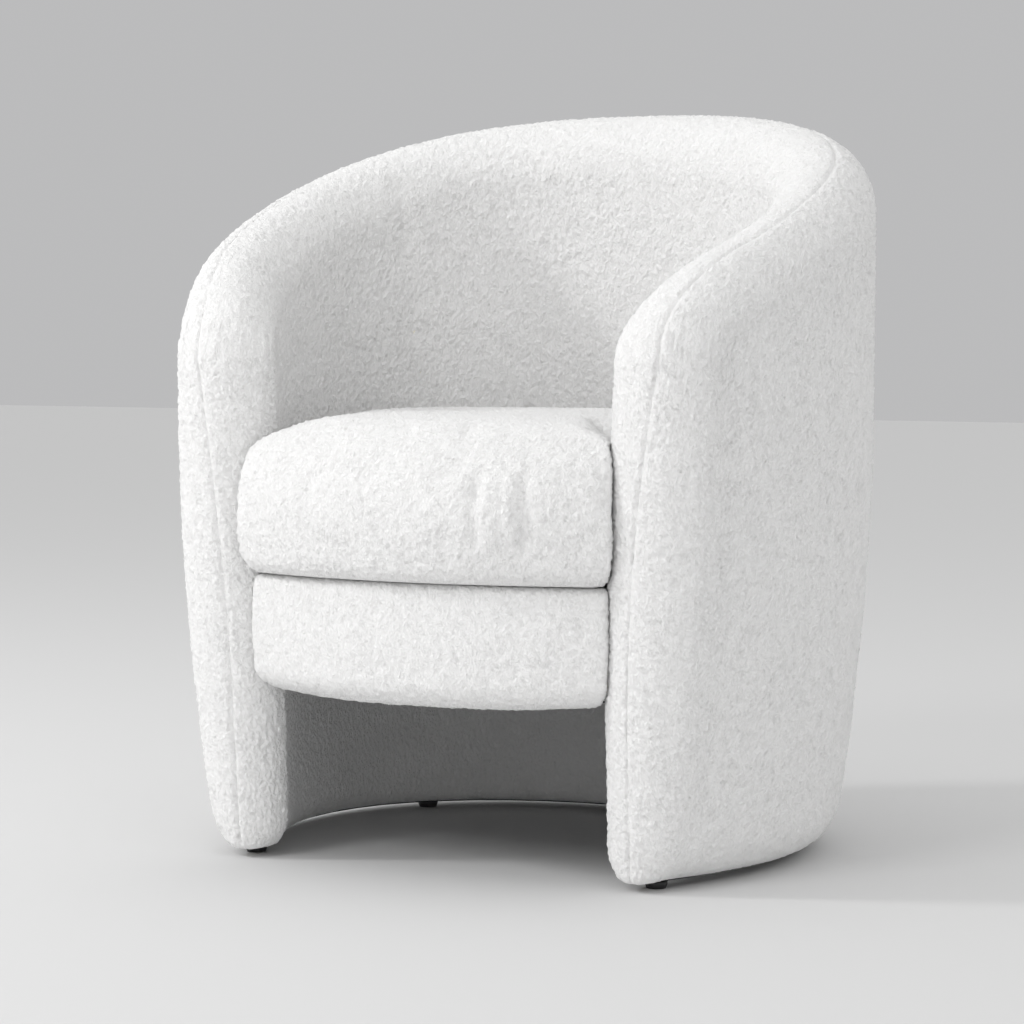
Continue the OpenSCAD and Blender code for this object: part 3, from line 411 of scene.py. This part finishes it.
def raise_loops(piece, amount, seed=0.0):
    """Lifts the cloth's curled loops out of its face, and lets the padding behind it wander a little."""
    points, normals = points_of(piece), normals_of(piece)
    lift = np.empty(len(points))
    offset = Vector((seed, seed * 0.37, seed * 0.71))
    loop_scale, fine_scale = 1 / (LOOP_SIZE * MM), 1 / (LOOP_SIZE * 0.42 * MM)
    wave_scale = 1 / (WAVE_SIZE * MM)
    for i, p in enumerate(points.tolist()):
        at = Vector(p) + offset
        lying = Vector((at.x, at.y, at.z * 0.74)) * loop_scale
        near, second = noise.voronoi(lying + noise.noise_vector(lying * 0.7) * 0.6)[0][:2]
        loop = min(1.0, (second - near) / 0.42) * (1 - 0.5 * near)
        curl = 1 - 3.2 * abs(noise.noise(lying * 0.9))
        lift[i] = ((loop - 0.5) * LOOP_HEIGHT + max(curl, -0.4) * 0.35 * LOOP_HEIGHT
                   + noise.noise(at * fine_scale) * 0.3 * LOOP_HEIGHT
                   + noise.noise(at * wave_scale) * WAVE_HEIGHT)
    set_points(piece, points + normals * (lift * amount * MM)[:, None])


def above_floor(piece):
    """No loops on the turned-in lower edge, and full loops above it."""
    return np.clip((points_of(piece)[:, 2] / MM - FLOOR_GAP) / 6, 0, 1)


def sew_in(piece, seam, depth=1.5, width=2.5):
    """Draws the cloth in along a seam."""
    points, normals = points_of(piece), normals_of(piece)
    distance, nearest = near_line(points, seam * MM, 5 * width * MM)
    pull = np.array([1 + 0.35 * noise.noise(Vector(p) * 45) for p in (seam * MM).tolist()])
    dip = depth * pull[nearest] * np.exp(-(distance / (width * MM)) ** 2)
    set_points(piece, points - normals * (dip * MM)[:, None])


def close_seam(piece, edge, seam):
    """Brings one cover's sewn edge to the line that both covers share, a little below the cloth's face."""
    points = points_of(piece)
    points[edge] = (seam - edge_outward * SEAM_DEPTH) * MM
    set_points(piece, points)


# The looped cloth: undyed white bouclé, matt, with soft fuzz that catches light at grazing angles
def looped_cloth(name):
    finish, tree, shader = new_finish(name, (0.905, 0.901, 0.895), 0.92,
                                      Sheen_Weight=0.25, Sheen_Roughness=0.6, Specular_IOR_Level=0.2)
    where = place(tree, (1, 1, 0.7))
    bend = add_node(tree, "ShaderNodeTexNoise", {"Vector": where, "Scale": 260, "Detail": 2})
    bent = add_node(tree, "ShaderNodeVectorMath", {0: bend.outputs["Color"], 1: (0.0042,) * 3},
                    operation="MULTIPLY")
    moved = add_node(tree, "ShaderNodeVectorMath", {0: where, 1: bent.outputs[0]}, operation="ADD")
    loops = add_node(tree, "ShaderNodeTexVoronoi",
                     {"Vector": moved.outputs[0], "Scale": 330, "Smoothness": 0.4}, feature="SMOOTH_F1")
    falling = {"From Min": 0.0, "To Min": 1.0, "To Max": 0.0}
    rounded = add_node(tree, "ShaderNodeMapRange",
                       falling | {"Value": loops.outputs["Distance"], "From Max": 0.75},
                       interpolation_type="SMOOTHSTEP")
    strands = noise_texture(tree, where, 620, 3, 2.2)
    ridge = add_node(tree, "ShaderNodeMath", {0: strands, 1: 0.5}, operation="SUBTRACT")
    ridge = add_node(tree, "ShaderNodeMath", {0: ridge.outputs[0]}, operation="ABSOLUTE")
    strand = add_node(tree, "ShaderNodeMapRange", falling | {"Value": ridge.outputs[0], "From Max": 0.16})
    both = add_node(tree, "ShaderNodeMath", {0: strand.outputs[0], 1: 0.4, 2: rounded.outputs[0]},
                    operation="MULTIPLY_ADD")
    # The cloth's colour is a little darker in the hollows between the loops and strands: this is painted
    # shade.
    two_tones(tree, shader, both.outputs[0], (0.885, 0.881, 0.875), (0.92, 0.917, 0.912), 0.05, 0.8)
    add_bump(tree, shader, both.outputs[0], 0.0011, 0.9)
    return finish


cover_cloth = looped_cloth("white looped cloth")

points, faces, corners, sewn_edge = wall_cloth(True)
seam_line = points[sewn_edge]
outside_cover = mesh_of("outside_cover_cloth", points, faces, corners=corners)
sew_in(outside_cover, seam_line)
raise_loops(outside_cover, above_floor(outside_cover))
close_seam(outside_cover, sewn_edge, seam_line)
outside_cover.data.materials.append(cover_cloth)
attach(outside_cover, "chair")
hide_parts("outside_cover")


# Inside cover: the same cloth over foam, from the lower edge up the inner face to the seam.
# A dart at each side of the back takes up the fullness where the arm turns into the back.
DART_TOP, DART_MIDDLE, DART_FOOT, DART_STATION, DART_LEAN = 700, 640, 430, 1.35, 0.0004


def dart_line(side):
    z = np.arange(DART_FOOT, DART_TOP, 2.0)
    q = DART_STATION + (DART_MIDDLE - z) * DART_LEAN
    return inner_face(q if side < 0 else 4 - q, z)


points, faces, corners, sewn_edge = wall_cloth(False)
inside_cover = mesh_of("inside_cover_cloth", points, faces, corners=corners)
sew_in(inside_cover, seam_line)
for side in (-1, 1):
    sew_in(inside_cover, dart_line(side), depth=2.4, width=12)
    sew_in(inside_cover, dart_line(side), depth=1.3, width=2.4)
raise_loops(inside_cover, above_floor(inside_cover), seed=0.31)
close_seam(inside_cover, sewn_edge, seam_line)
inside_cover.data.materials.append(cover_cloth)
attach(inside_cover, "chair")
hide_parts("inside_cover")


# Platform: a bow-fronted tray of the same cloth turned over foam and timber rails, bolted inside the
# shell. Its band shows under the cushion, rounded along its lower edge.
DECK_HEIGHT, BAND_HEIGHT, PLATFORM_OVERHANG, BOW_DEPTH = 290.5, 121, 23, 35
BAND_RADIUS, DECK_RADIUS, BAND_LIP, BAND_RISE = 29, 9, 38, 5
BAND_MIDDLE, BAND_GAP, BAND_STEP = 230, 0.4, 2.6
MOUTH_HALF = SHELL_WIDTH / 2 - ARM_WALL - ARM_DRAW_IN
BOW_RADIUS = (MOUTH_HALF ** 2 + BOW_DEPTH ** 2) / (2 * BOW_DEPTH)
SEAT_HALF = SHELL_WIDTH / 2 - ARM_WALL - ARM_FULLNESS
LEAST_CLEARANCE = 1.2


def bow_y(x, nose):
    return nose + BOW_RADIUS - np.sqrt(BOW_RADIUS ** 2 - x ** 2)


def seat_outline(z, gap, nose, angles, bow_half):
    """Points round a platform or cushion: inside the tub, past the arms' rounded edges, across the bow."""
    stations = np.concatenate([[0, 0.04, 0.12, 0.25, 0.45, 0.7], 1 + np.arange(21) / 10,
                               4 - np.array([0.7, 0.45, 0.25, 0.12, 0.04, 0])])
    heights = np.full(len(stations), float(z))
    inner, outer = inner_face(stations, heights), outer_face(stations, heights)
    tub = inner - unit(outer - inner) * gap
    o, i = outer[-1], inner[-1]
    half, around, clear = (o[0] - i[0]) / 2, np.radians(angles), max(gap, LEAST_CLEARANCE)
    wraps = np.column_stack([(o[0] + i[0]) / 2 + (half + clear) * np.cos(around),
                             front_y(z) - (half * FRONT_ROUND + clear) * np.sin(around),
                             np.full(len(around), float(z))])
    x = bow_half * np.array([0.97, 0.86, 0.66, 0.42, 0.2])
    bows = np.column_stack([x, bow_y(x, nose), np.full(len(x), float(z))])
    mirror = np.array([-1, 1, 1])
    return np.concatenate([tub, wraps, bows, [[0, nose, z]], bows[::-1] * mirror, wraps[::-1] * mirror])


def curve(a, b, c, d, count):
    """Points of a smooth curve from b up to c, led by the points a before and d after them."""
    return [0.5 * (2 * b + (c - a) * t + (2 * a - 5 * b + 4 * c - d) * t ** 2
                   + (3 * b - a - 3 * c + d) * t ** 3)
            for t in np.linspace(0, 1, count, endpoint=False)]


def cut_evenly(line, step):
    """The same line with points at even steps."""
    line = np.array(line, float)
    even, run = even_steps(line, step)
    return np.column_stack([np.interp(even, run, line[:, j]) for j in range(line.shape[1])])


def smooth_loop(points, step):
    """A closed line through the points, rounded and cut at even steps."""
    n = len(points)
    fine = []
    for k in range(n):
        fine += curve(*(points[(k + j) % n] for j in (-1, 0, 1, 2)), 12)
    return cut_evenly(fine + fine[:1], step)[:-1]


def smooth_line(points, step):
    """An open line through the points, rounded and cut at even steps."""
    points = np.array(points, float)
    ends = np.concatenate([[2 * points[0] - points[1]], points, [2 * points[-1] - points[-2]]])
    fine = []
    for k in range(len(points) - 1):
        fine += curve(*ends[k:k + 4], 16)
    return cut_evenly([*fine, points[-1]], step)


def drawn_in(outline, nose, inset, z, rise=0.0, across=1.0):
    """The outline at another height, drawn in by an inset, with its ends raised if asked."""
    middle, half_depth = (nose + BACK_Y - BACK_WALL) / 2, (BACK_Y - BACK_WALL - nose) / 2
    return np.column_stack([outline[:, 0] * (1 - inset * across / SEAT_HALF),
                            middle + (outline[:, 1] - middle) * (1 - inset / half_depth),
                            z + rise * np.clip(np.abs(outline[:, 0]) / MOUTH_HALF, 0, 1) ** 3])


def ring_cloth(rings, close_bottom=False):
    """Faces between rings of points, with the last ring, and the first if asked, closed to its middle."""
    n = len(rings[0])
    ids = np.arange(n * len(rings)).reshape(len(rings), n)
    after = np.roll(ids, -1, axis=1)
    faces = np.stack([ids[:-1], after[:-1], after[1:], ids[1:]], -1).reshape(-1, 4).tolist()
    centres = [rings[-1].mean(0)]
    faces += [(a, b, ids.size) for a, b in zip(ids[-1].tolist(), after[-1].tolist())]
    if close_bottom:
        centres.append(rings[0].mean(0))
        faces += [(b, a, ids.size + 1) for a, b in zip(ids[0].tolist(), after[0].tolist())]
    return np.concatenate([*rings, centres]), faces


band_bottom = DECK_HEIGHT - BAND_HEIGHT
platform_nose = TIP_Y - PLATFORM_OVERHANG
outline = smooth_loop(seat_outline(BAND_MIDDLE, BAND_GAP, platform_nose, (165, 150, 140),
                                   MOUTH_HALF + PLATFORM_OVERHANG * 0.125), BAND_STEP)

# Inset and height round the band: its lip, its rounded lower edge, its slightly full face and its top edge
turn = np.radians(np.arange(0, 91, 6))
corners = ([(BAND_LIP + 3, band_bottom + 11), (BAND_LIP + 1, band_bottom + 3), (BAND_LIP - 3, band_bottom)]
           + [(BAND_RADIUS * (1 - math.sin(a)), band_bottom + BAND_RADIUS * (1 - math.cos(a))) for a in turn]
           + [(-2.2 * math.sin(math.pi * t),
               band_bottom + BAND_RADIUS + (BAND_HEIGHT - BAND_RADIUS - DECK_RADIUS) * t)
              for t in np.linspace(0.05, 0.95, 12)]
           + [(DECK_RADIUS * (1 - math.cos(a)), DECK_HEIGHT - DECK_RADIUS * (1 - math.sin(a))) for a in turn]
           + [(36, DECK_HEIGHT)])
rings = [drawn_in(outline, platform_nose, inset, z, BAND_RISE * np.clip((BAND_MIDDLE - z) / 60, 0, 1))
         for inset, z in cut_evenly(corners, BAND_STEP)]
rings += [drawn_in(outline, platform_nose, inset, DECK_HEIGHT) for inset in np.arange(42, 238, 6)]
platform_points, platform_faces = ring_cloth(rings)
platform_cover = mesh_of("platform_cover_cloth", platform_points, platform_faces)
at = points_of(platform_cover) / MM
# Loops on the front band, and under it only ahead of the arms' fronts, where they can be seen
showing = np.clip((-205 - at[:, 1]) / 25, 0, 1) * np.clip((DECK_HEIGHT + 1 - at[:, 2]) / 4, 0, 1)
showing *= np.clip((at[:, 2] - band_bottom - 1 + 200 * (at[:, 1] < TIP_Y + 20)) / 4, 0, 1)
raise_loops(platform_cover, showing, seed=0.57)
platform_cover.data.materials.append(cover_cloth)
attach(platform_cover, "chair")
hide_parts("platform_cover")


# Springs and fixings of the platform: zigzag spring steel in zinc-plated clips, and six bolts that
# hold the platform to brass inserts in the uprights.
spring_steel = mottled("spring steel", (0.22, 0.22, 0.23), 0.38, (0.14, 0.14, 0.15), (0.30, 0.30, 0.31),
                       scale=700, detail=3, Metallic=1.0)
zinc = mottled("zinc plate", (0.62, 0.64, 0.66), 0.30, (0.50, 0.52, 0.54), (0.72, 0.74, 0.76),
               scale=420, detail=3, Metallic=1.0)
brass = mottled("turned brass", (0.78, 0.57, 0.24), 0.28, (0.66, 0.46, 0.18), (0.84, 0.64, 0.30),
                scale=500, detail=2, Metallic=1.0)
paint(spring_steel, ("zigzag_springs",))
paint(zinc, ("spring_clips", "platform_bolts", "glide_screws"))
paint(brass, ("threaded_inserts",))


# Black non-woven dust cloth under the platform's rails and under the shell's lower edge,
# stapled on and cut off at the covers' edges.
dust_cloth = mottled("black dust cloth", (0.012, 0.012, 0.013), 0.9,
                     (0.008, 0.008, 0.009), (0.022, 0.022, 0.024),
                     scale=800, detail=5, distortion=1.5, relief=(0.0003, 0.6))
paint(dust_cloth, ("platform_dust_cloth", "shell_dust_cloth"))


# Glides: four turned black plastic feet screwed up into the bottom plate.
glide_plastic = mottled("black glide plastic", (0.015, 0.015, 0.016), 0.42,
                        (0.011, 0.011, 0.012), (0.020, 0.020, 0.021),
                        scale=1400, detail=2, relief=(0.0001, 0.5))
paint(glide_plastic, ("glides",))


# Seat cushion: a loose box cushion, looped cloth over a foam core, with a seam sewn low round its side
# and a plain panel below it. The filling pushes the cloth out between the seam and the crown.
CUSHION_HEIGHT, CUSHION_GAP, REST_GAP, SEAM_HEIGHT = 158, 1.8, 0.3, 12.5
START_INSET, CROWN_START, CUSHION_CAP, CUSHION_PRESSURE = -1.5, 11, 14, 4.0
CUSHION_STEP, CUSHION_MIDDLE_Y, HUG_REACH = 8, 40.0, 0.5
cushion_bottom = DECK_HEIGHT + REST_GAP
cushion_nose = TIP_Y - CUSHION_OVERHANG
fullest_height = cushion_bottom + CUSHION_HEIGHT * 0.4


def cushion_outline(z, step):
    return smooth_loop(seat_outline(z, CUSHION_GAP, cushion_nose, (165, 150, 135, 124),
                                    MOUTH_HALF + CUSHION_OVERHANG * 0.33), step)


cushion_loop = cushion_outline(fullest_height, 6)
# The cushion's side in section, from its lower edge to its crown: inset and height as shares of its height
SIDE_SHARES = ((0.2, 0), (0.125, 0.015), (0.08, 0.06), (0.034, 0.16), (0.009, 0.28), (0, 0.45), (0.01, 0.66),
               (0.05, 0.83), (0.13, 0.925), (0.26, 0.97), (0.45, 0.985), (0.7, 1.0))


def settled(piece, step):
    """Works the piece's modifiers, as they stand at a time step, into its own mesh."""
    bpy.context.scene.frame_set(step)
    mesh = bpy.data.meshes.new_from_object(piece.evaluated_get(bpy.context.evaluated_depsgraph_get()))
    piece.modifiers.clear()
    piece.data = mesh
    mesh.polygons.foreach_set("use_smooth", np.ones(len(mesh.polygons), bool))


def blow_up(piece, pressure, cap, held):
    """Fills a closed cushion as cloth, keeps held points in place, and caps how far the others move."""
    before = points_of(piece)
    group = piece.vertex_groups.new(name="held")
    group.add(np.nonzero(held)[0].tolist(), 1.0, "REPLACE")
    cloth = piece.modifiers.new("filling", "CLOTH")
    cloth.settings.use_pressure = True
    cloth.settings.uniform_pressure_force = pressure
    cloth.settings.effector_weights.gravity = 0
    cloth.settings.vertex_group_mass = "held"
    cloth.settings.tension_stiffness = cloth.settings.compression_stiffness = 22
    cloth.settings.bending_stiffness = 1.2
    for step in range(1, 20):
        bpy.context.scene.frame_set(step)
    settled(piece, 20)
    bpy.context.scene.frame_set(1)
    moved = points_of(piece) - before
    far = np.linalg.norm(moved, axis=1, keepdims=True)
    keep = cap * MM * np.tanh(far / (cap * MM)) / np.maximum(far, 1e-9)
    set_points(piece, before + moved * keep)


profile = smooth_line([(inset * CUSHION_HEIGHT, cushion_bottom + up * (CUSHION_HEIGHT - CROWN_START))
                       for inset, up in SIDE_SHARES], 5)
last_inset, last_z = profile[-1]
between_arms = np.where(cushion_loop[:, 0] > 0, 0.76 * np.clip((cushion_loop[:, 0] - 50) / 110, 0, 1),
                        0.42 * np.clip((cushion_loop[:, 1] - TIP_Y - 5) / 70, 0, 1))


def held_ends(inset, z):
    """The ends round off less at the top where the arms hold them, the right one right up to the front."""
    return 1 - between_arms * np.clip((z - 330) / 60, 0, 1) * np.clip((150 - inset) / 90, 0, 1)


def cushion_ring(inset, z):
    return drawn_in(cushion_loop, cushion_nose, inset + START_INSET, z, across=held_ends(inset, z))


rings = [drawn_in(cushion_loop, cushion_nose, inset + START_INSET, profile[0][1])
         for inset in np.arange(228, profile[0][0] + 4, -CUSHION_STEP)]
rings += [cushion_ring(inset, z) for inset, z in profile]
rings += [cushion_ring(inset, last_z) for inset in np.arange(last_inset + CUSHION_STEP, 230, CUSHION_STEP)]
cushion = mesh_of("seat_cushion_cloth", *ring_cloth(rings, close_bottom=True))
even_out = cushion.modifiers.new("even facets", "REMESH")
even_out.mode, even_out.voxel_size = "VOXEL", 0.005
settled(cushion, 1)
up = points_of(cushion)[:, 2] / MM - cushion_bottom
blow_up(cushion, CUSHION_PRESSURE, CUSHION_CAP, (up < 2.5) | (np.abs(up - SEAM_HEIGHT) < 2.6))


def keep_inside(points, loop, middle_y):
    """Draws points that pass a closed outline back to it, towards the middle."""
    toward = np.arctan2(loop[:, 1] - middle_y, loop[:, 0])
    order = np.argsort(toward)
    reach = np.hypot(loop[:, 0], loop[:, 1] - middle_y)[order]
    angle = np.arctan2(points[:, 1] - middle_y, points[:, 0])
    far = np.hypot(points[:, 0], points[:, 1] - middle_y)
    limit = np.interp(angle, toward[order], reach, period=2 * math.pi)
    share = np.minimum(1, limit / np.maximum(far, 1e-9))
    return np.column_stack([points[:, 0] * share, middle_y + (points[:, 1] - middle_y) * share, points[:, 2]])


smoother = cushion.modifiers.new("finer facets", "SUBSURF")
smoother.levels = smoother.render_levels = 1
settled(cushion, 1)


def hug_arm(points):
    """Presses the cushion's front corners against the rounded front edges of the arms."""
    z = fullest_height
    outer, inner = outer_face(np.zeros(1), np.full(1, z))[0], inner_face(np.zeros(1), np.full(1, z))[0]
    middle, half = abs(outer[0] + inner[0]) / 2, abs(outer[0] - inner[0]) / 2 + 0.6
    u, v = (np.abs(points[:, 0]) - middle) / half, (points[:, 1] - front_y(z)) / (half * FRONT_ROUND)
    far = np.maximum(np.hypot(u, v), 1e-9)
    up = points[:, 2] - cushion_bottom
    amount = (np.clip((up - 4) / 18, 0, 1) * np.clip((150 - up) / 30, 0, 1)
              * np.clip((0.35 - v) / 0.3, 0, 1) * (u < 0.3))
    over = np.clip(far - 1, 0, HUG_REACH)
    to = np.where(far < 1, 1 - (1 - far) * (1 - amount), far - over * amount * (1 - over / HUG_REACH))
    scale = to / far
    x = np.sign(points[:, 0]) * (middle + (np.abs(points[:, 0]) - middle) * scale)
    return np.column_stack([x, front_y(z) + (points[:, 1] - front_y(z)) * scale, points[:, 2]])


limits = drawn_in(cushion_loop, cushion_nose, -1, 0)
at = hug_arm(keep_inside(points_of(cushion) / MM, limits, CUSHION_MIDDLE_Y))
at[:, 2] = np.maximum(at[:, 2], cushion_bottom)
set_points(cushion, at * MM)
near_arm = ((np.abs(at[:, 0]) > 165) & (at[:, 1] < TIP_Y + 75)
            & (at[:, 2] > cushion_bottom + SEAM_HEIGHT + 6))
cushion.vertex_groups.new(name="corners").add(np.nonzero(near_arm)[0].tolist(), 1.0, "REPLACE")
relaxed = cushion.modifiers.new("relaxed cloth", "SMOOTH")
relaxed.factor, relaxed.iterations = 0.5, 12
relaxed.vertex_group = "corners"
settled(cushion, 1)
seam_z = cushion_bottom + SEAM_HEIGHT
low_seam = drawn_in(cushion_outline(seam_z, 3), cushion_nose, START_INSET - 2, seam_z)
sew_in(cushion, low_seam, depth=2.2, width=3.4)


# The fold's height and where it starts and ends across the front, with the width of each slope.
# The hollows beside it and in it: depth, place across and width.
FOLD_HEIGHT, FOLD_START, FOLD_END = 4.4, (84, 8), (112, 16)
HOLLOWS = ((2.6, 80, 6), (3.6, 128, 7), (1.2, 107, 6))
FOLD_FOOT, FOLD_TOP = (314, 30), (375, 45)


def step_up(x, start, width):
    t = np.clip((x - start) / width, 0, 1)
    return t * t * (3 - 2 * t)


def pucker(piece):
    """The soft upright creases in the front of the cushion, right of its middle."""
    points, normals = points_of(piece), normals_of(piece)
    x, y, z = (points / MM).T
    across = x + 0.05 * (z - 350)
    lift = FOLD_HEIGHT * (step_up(across, *FOLD_START) - step_up(across, *FOLD_END))
    for depth, place_at, width in HOLLOWS:
        lift = lift - depth * np.exp(-((across - place_at) / width) ** 2)
    window = step_up(z, *FOLD_FOOT) * (1 - step_up(z, *FOLD_TOP)) * (y < -200)
    set_points(piece, points + normals * (lift * window * MM)[:, None])


pucker(cushion)
raise_loops(cushion, np.clip((points_of(cushion)[:, 2] / MM - cushion_bottom) / 4, 0, 1), seed=0.83)
cushion.data.materials.append(cover_cloth)
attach(cushion, "seat_cushion")
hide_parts("cushion_cover", "cushion_underside", "cushion_core")


# Stage, lights and camera: a plain pale floor and backdrop, a soft light from the left, weaker ones
# from above and from the front, and the photograph's own point of view.
FLOOR_COLOUR, FLOOR_SEEN, BACKDROP_SEEN = (0.82, 0.82, 0.82), (0.56, 0.56, 0.56), (0.50, 0.50, 0.505)
FLOOR_HALF = 14
floor_corners = np.array([(-1, -1, 0), (1, -1, 0), (1, 1, 0), (-1, 1, 0)], float)
floor = mesh_of("floor", floor_corners, [(0, 1, 2, 3)], FLOOR_HALF)
floor_paint, tree, shader = new_finish("pale floor", FLOOR_COLOUR, 0.9)
ray = add_node(tree, "ShaderNodeLightPath")
seen = add_node(tree, "ShaderNodeMath", {0: ray.outputs["Is Camera Ray"], 1: ray.outputs["Is Glossy Ray"]},
                operation="MAXIMUM")
two_tones(tree, shader, seen.outputs[0], FLOOR_COLOUR, FLOOR_SEEN)
floor.data.materials.append(floor_paint)

world = bpy.data.worlds.new("studio")
world.use_nodes = True
tree = world.node_tree
light = tree.nodes["Background"]
light.inputs["Color"].default_value = (1, 1, 1, 1)
light.inputs["Strength"].default_value = 0.93
backdrop = add_node(tree, "ShaderNodeBackground", {"Color": (*BACKDROP_SEEN, 1), "Strength": 1.0})
ray = add_node(tree, "ShaderNodeLightPath")
seen = add_node(tree, "ShaderNodeMath",
                {0: ray.outputs["Is Camera Ray"], 1: ray.outputs["Is Transmission Ray"]}, operation="MAXIMUM")
shown = add_node(tree, "ShaderNodeMixShader",
                 {0: seen.outputs[0], 1: light.outputs[0], 2: backdrop.outputs[0]})
tree.links.new(shown.outputs[0], tree.nodes["World Output"].inputs["Surface"])
bpy.context.scene.world = world


LIT_POINT = Vector((0, 0, 0.4))


def soft_light(name, place_at, size, power):
    lamp = bpy.data.lights.new(name, "AREA")
    lamp.shape, lamp.size, lamp.energy = "SQUARE", size, power
    light = bpy.data.objects.new(name, lamp)
    light.location = place_at
    light.rotation_euler = (LIT_POINT - Vector(place_at)).to_track_quat("-Z", "Y").to_euler()
    bpy.context.scene.collection.objects.link(light)


soft_light("key light", (-3.0, -1.73, 2.4), 0.5, 53.5)
soft_light("front light", (-0.8, -3.2, 2.8), 1.2, 34)
soft_light("top light", (0, -0.4, 3.2), 2.0, 8)

camera = bpy.data.objects.new("camera", bpy.data.cameras.new("camera"))
camera.data.lens, camera.data.sensor_width = 109.95, 36
view = Matrix.Translation((1.43643, -2.92597, 0.53959))
for degrees, axis in ((26.680, "Z"), (90 - 3.429, "X"), (0.178, "Z")):
    view = view @ Matrix.Rotation(math.radians(degrees), 4, axis)
camera.matrix_world = view
bpy.context.scene.collection.objects.link(camera)
bpy.context.scene.camera = camera
bpy.context.scene.view_settings.view_transform = "Standard"
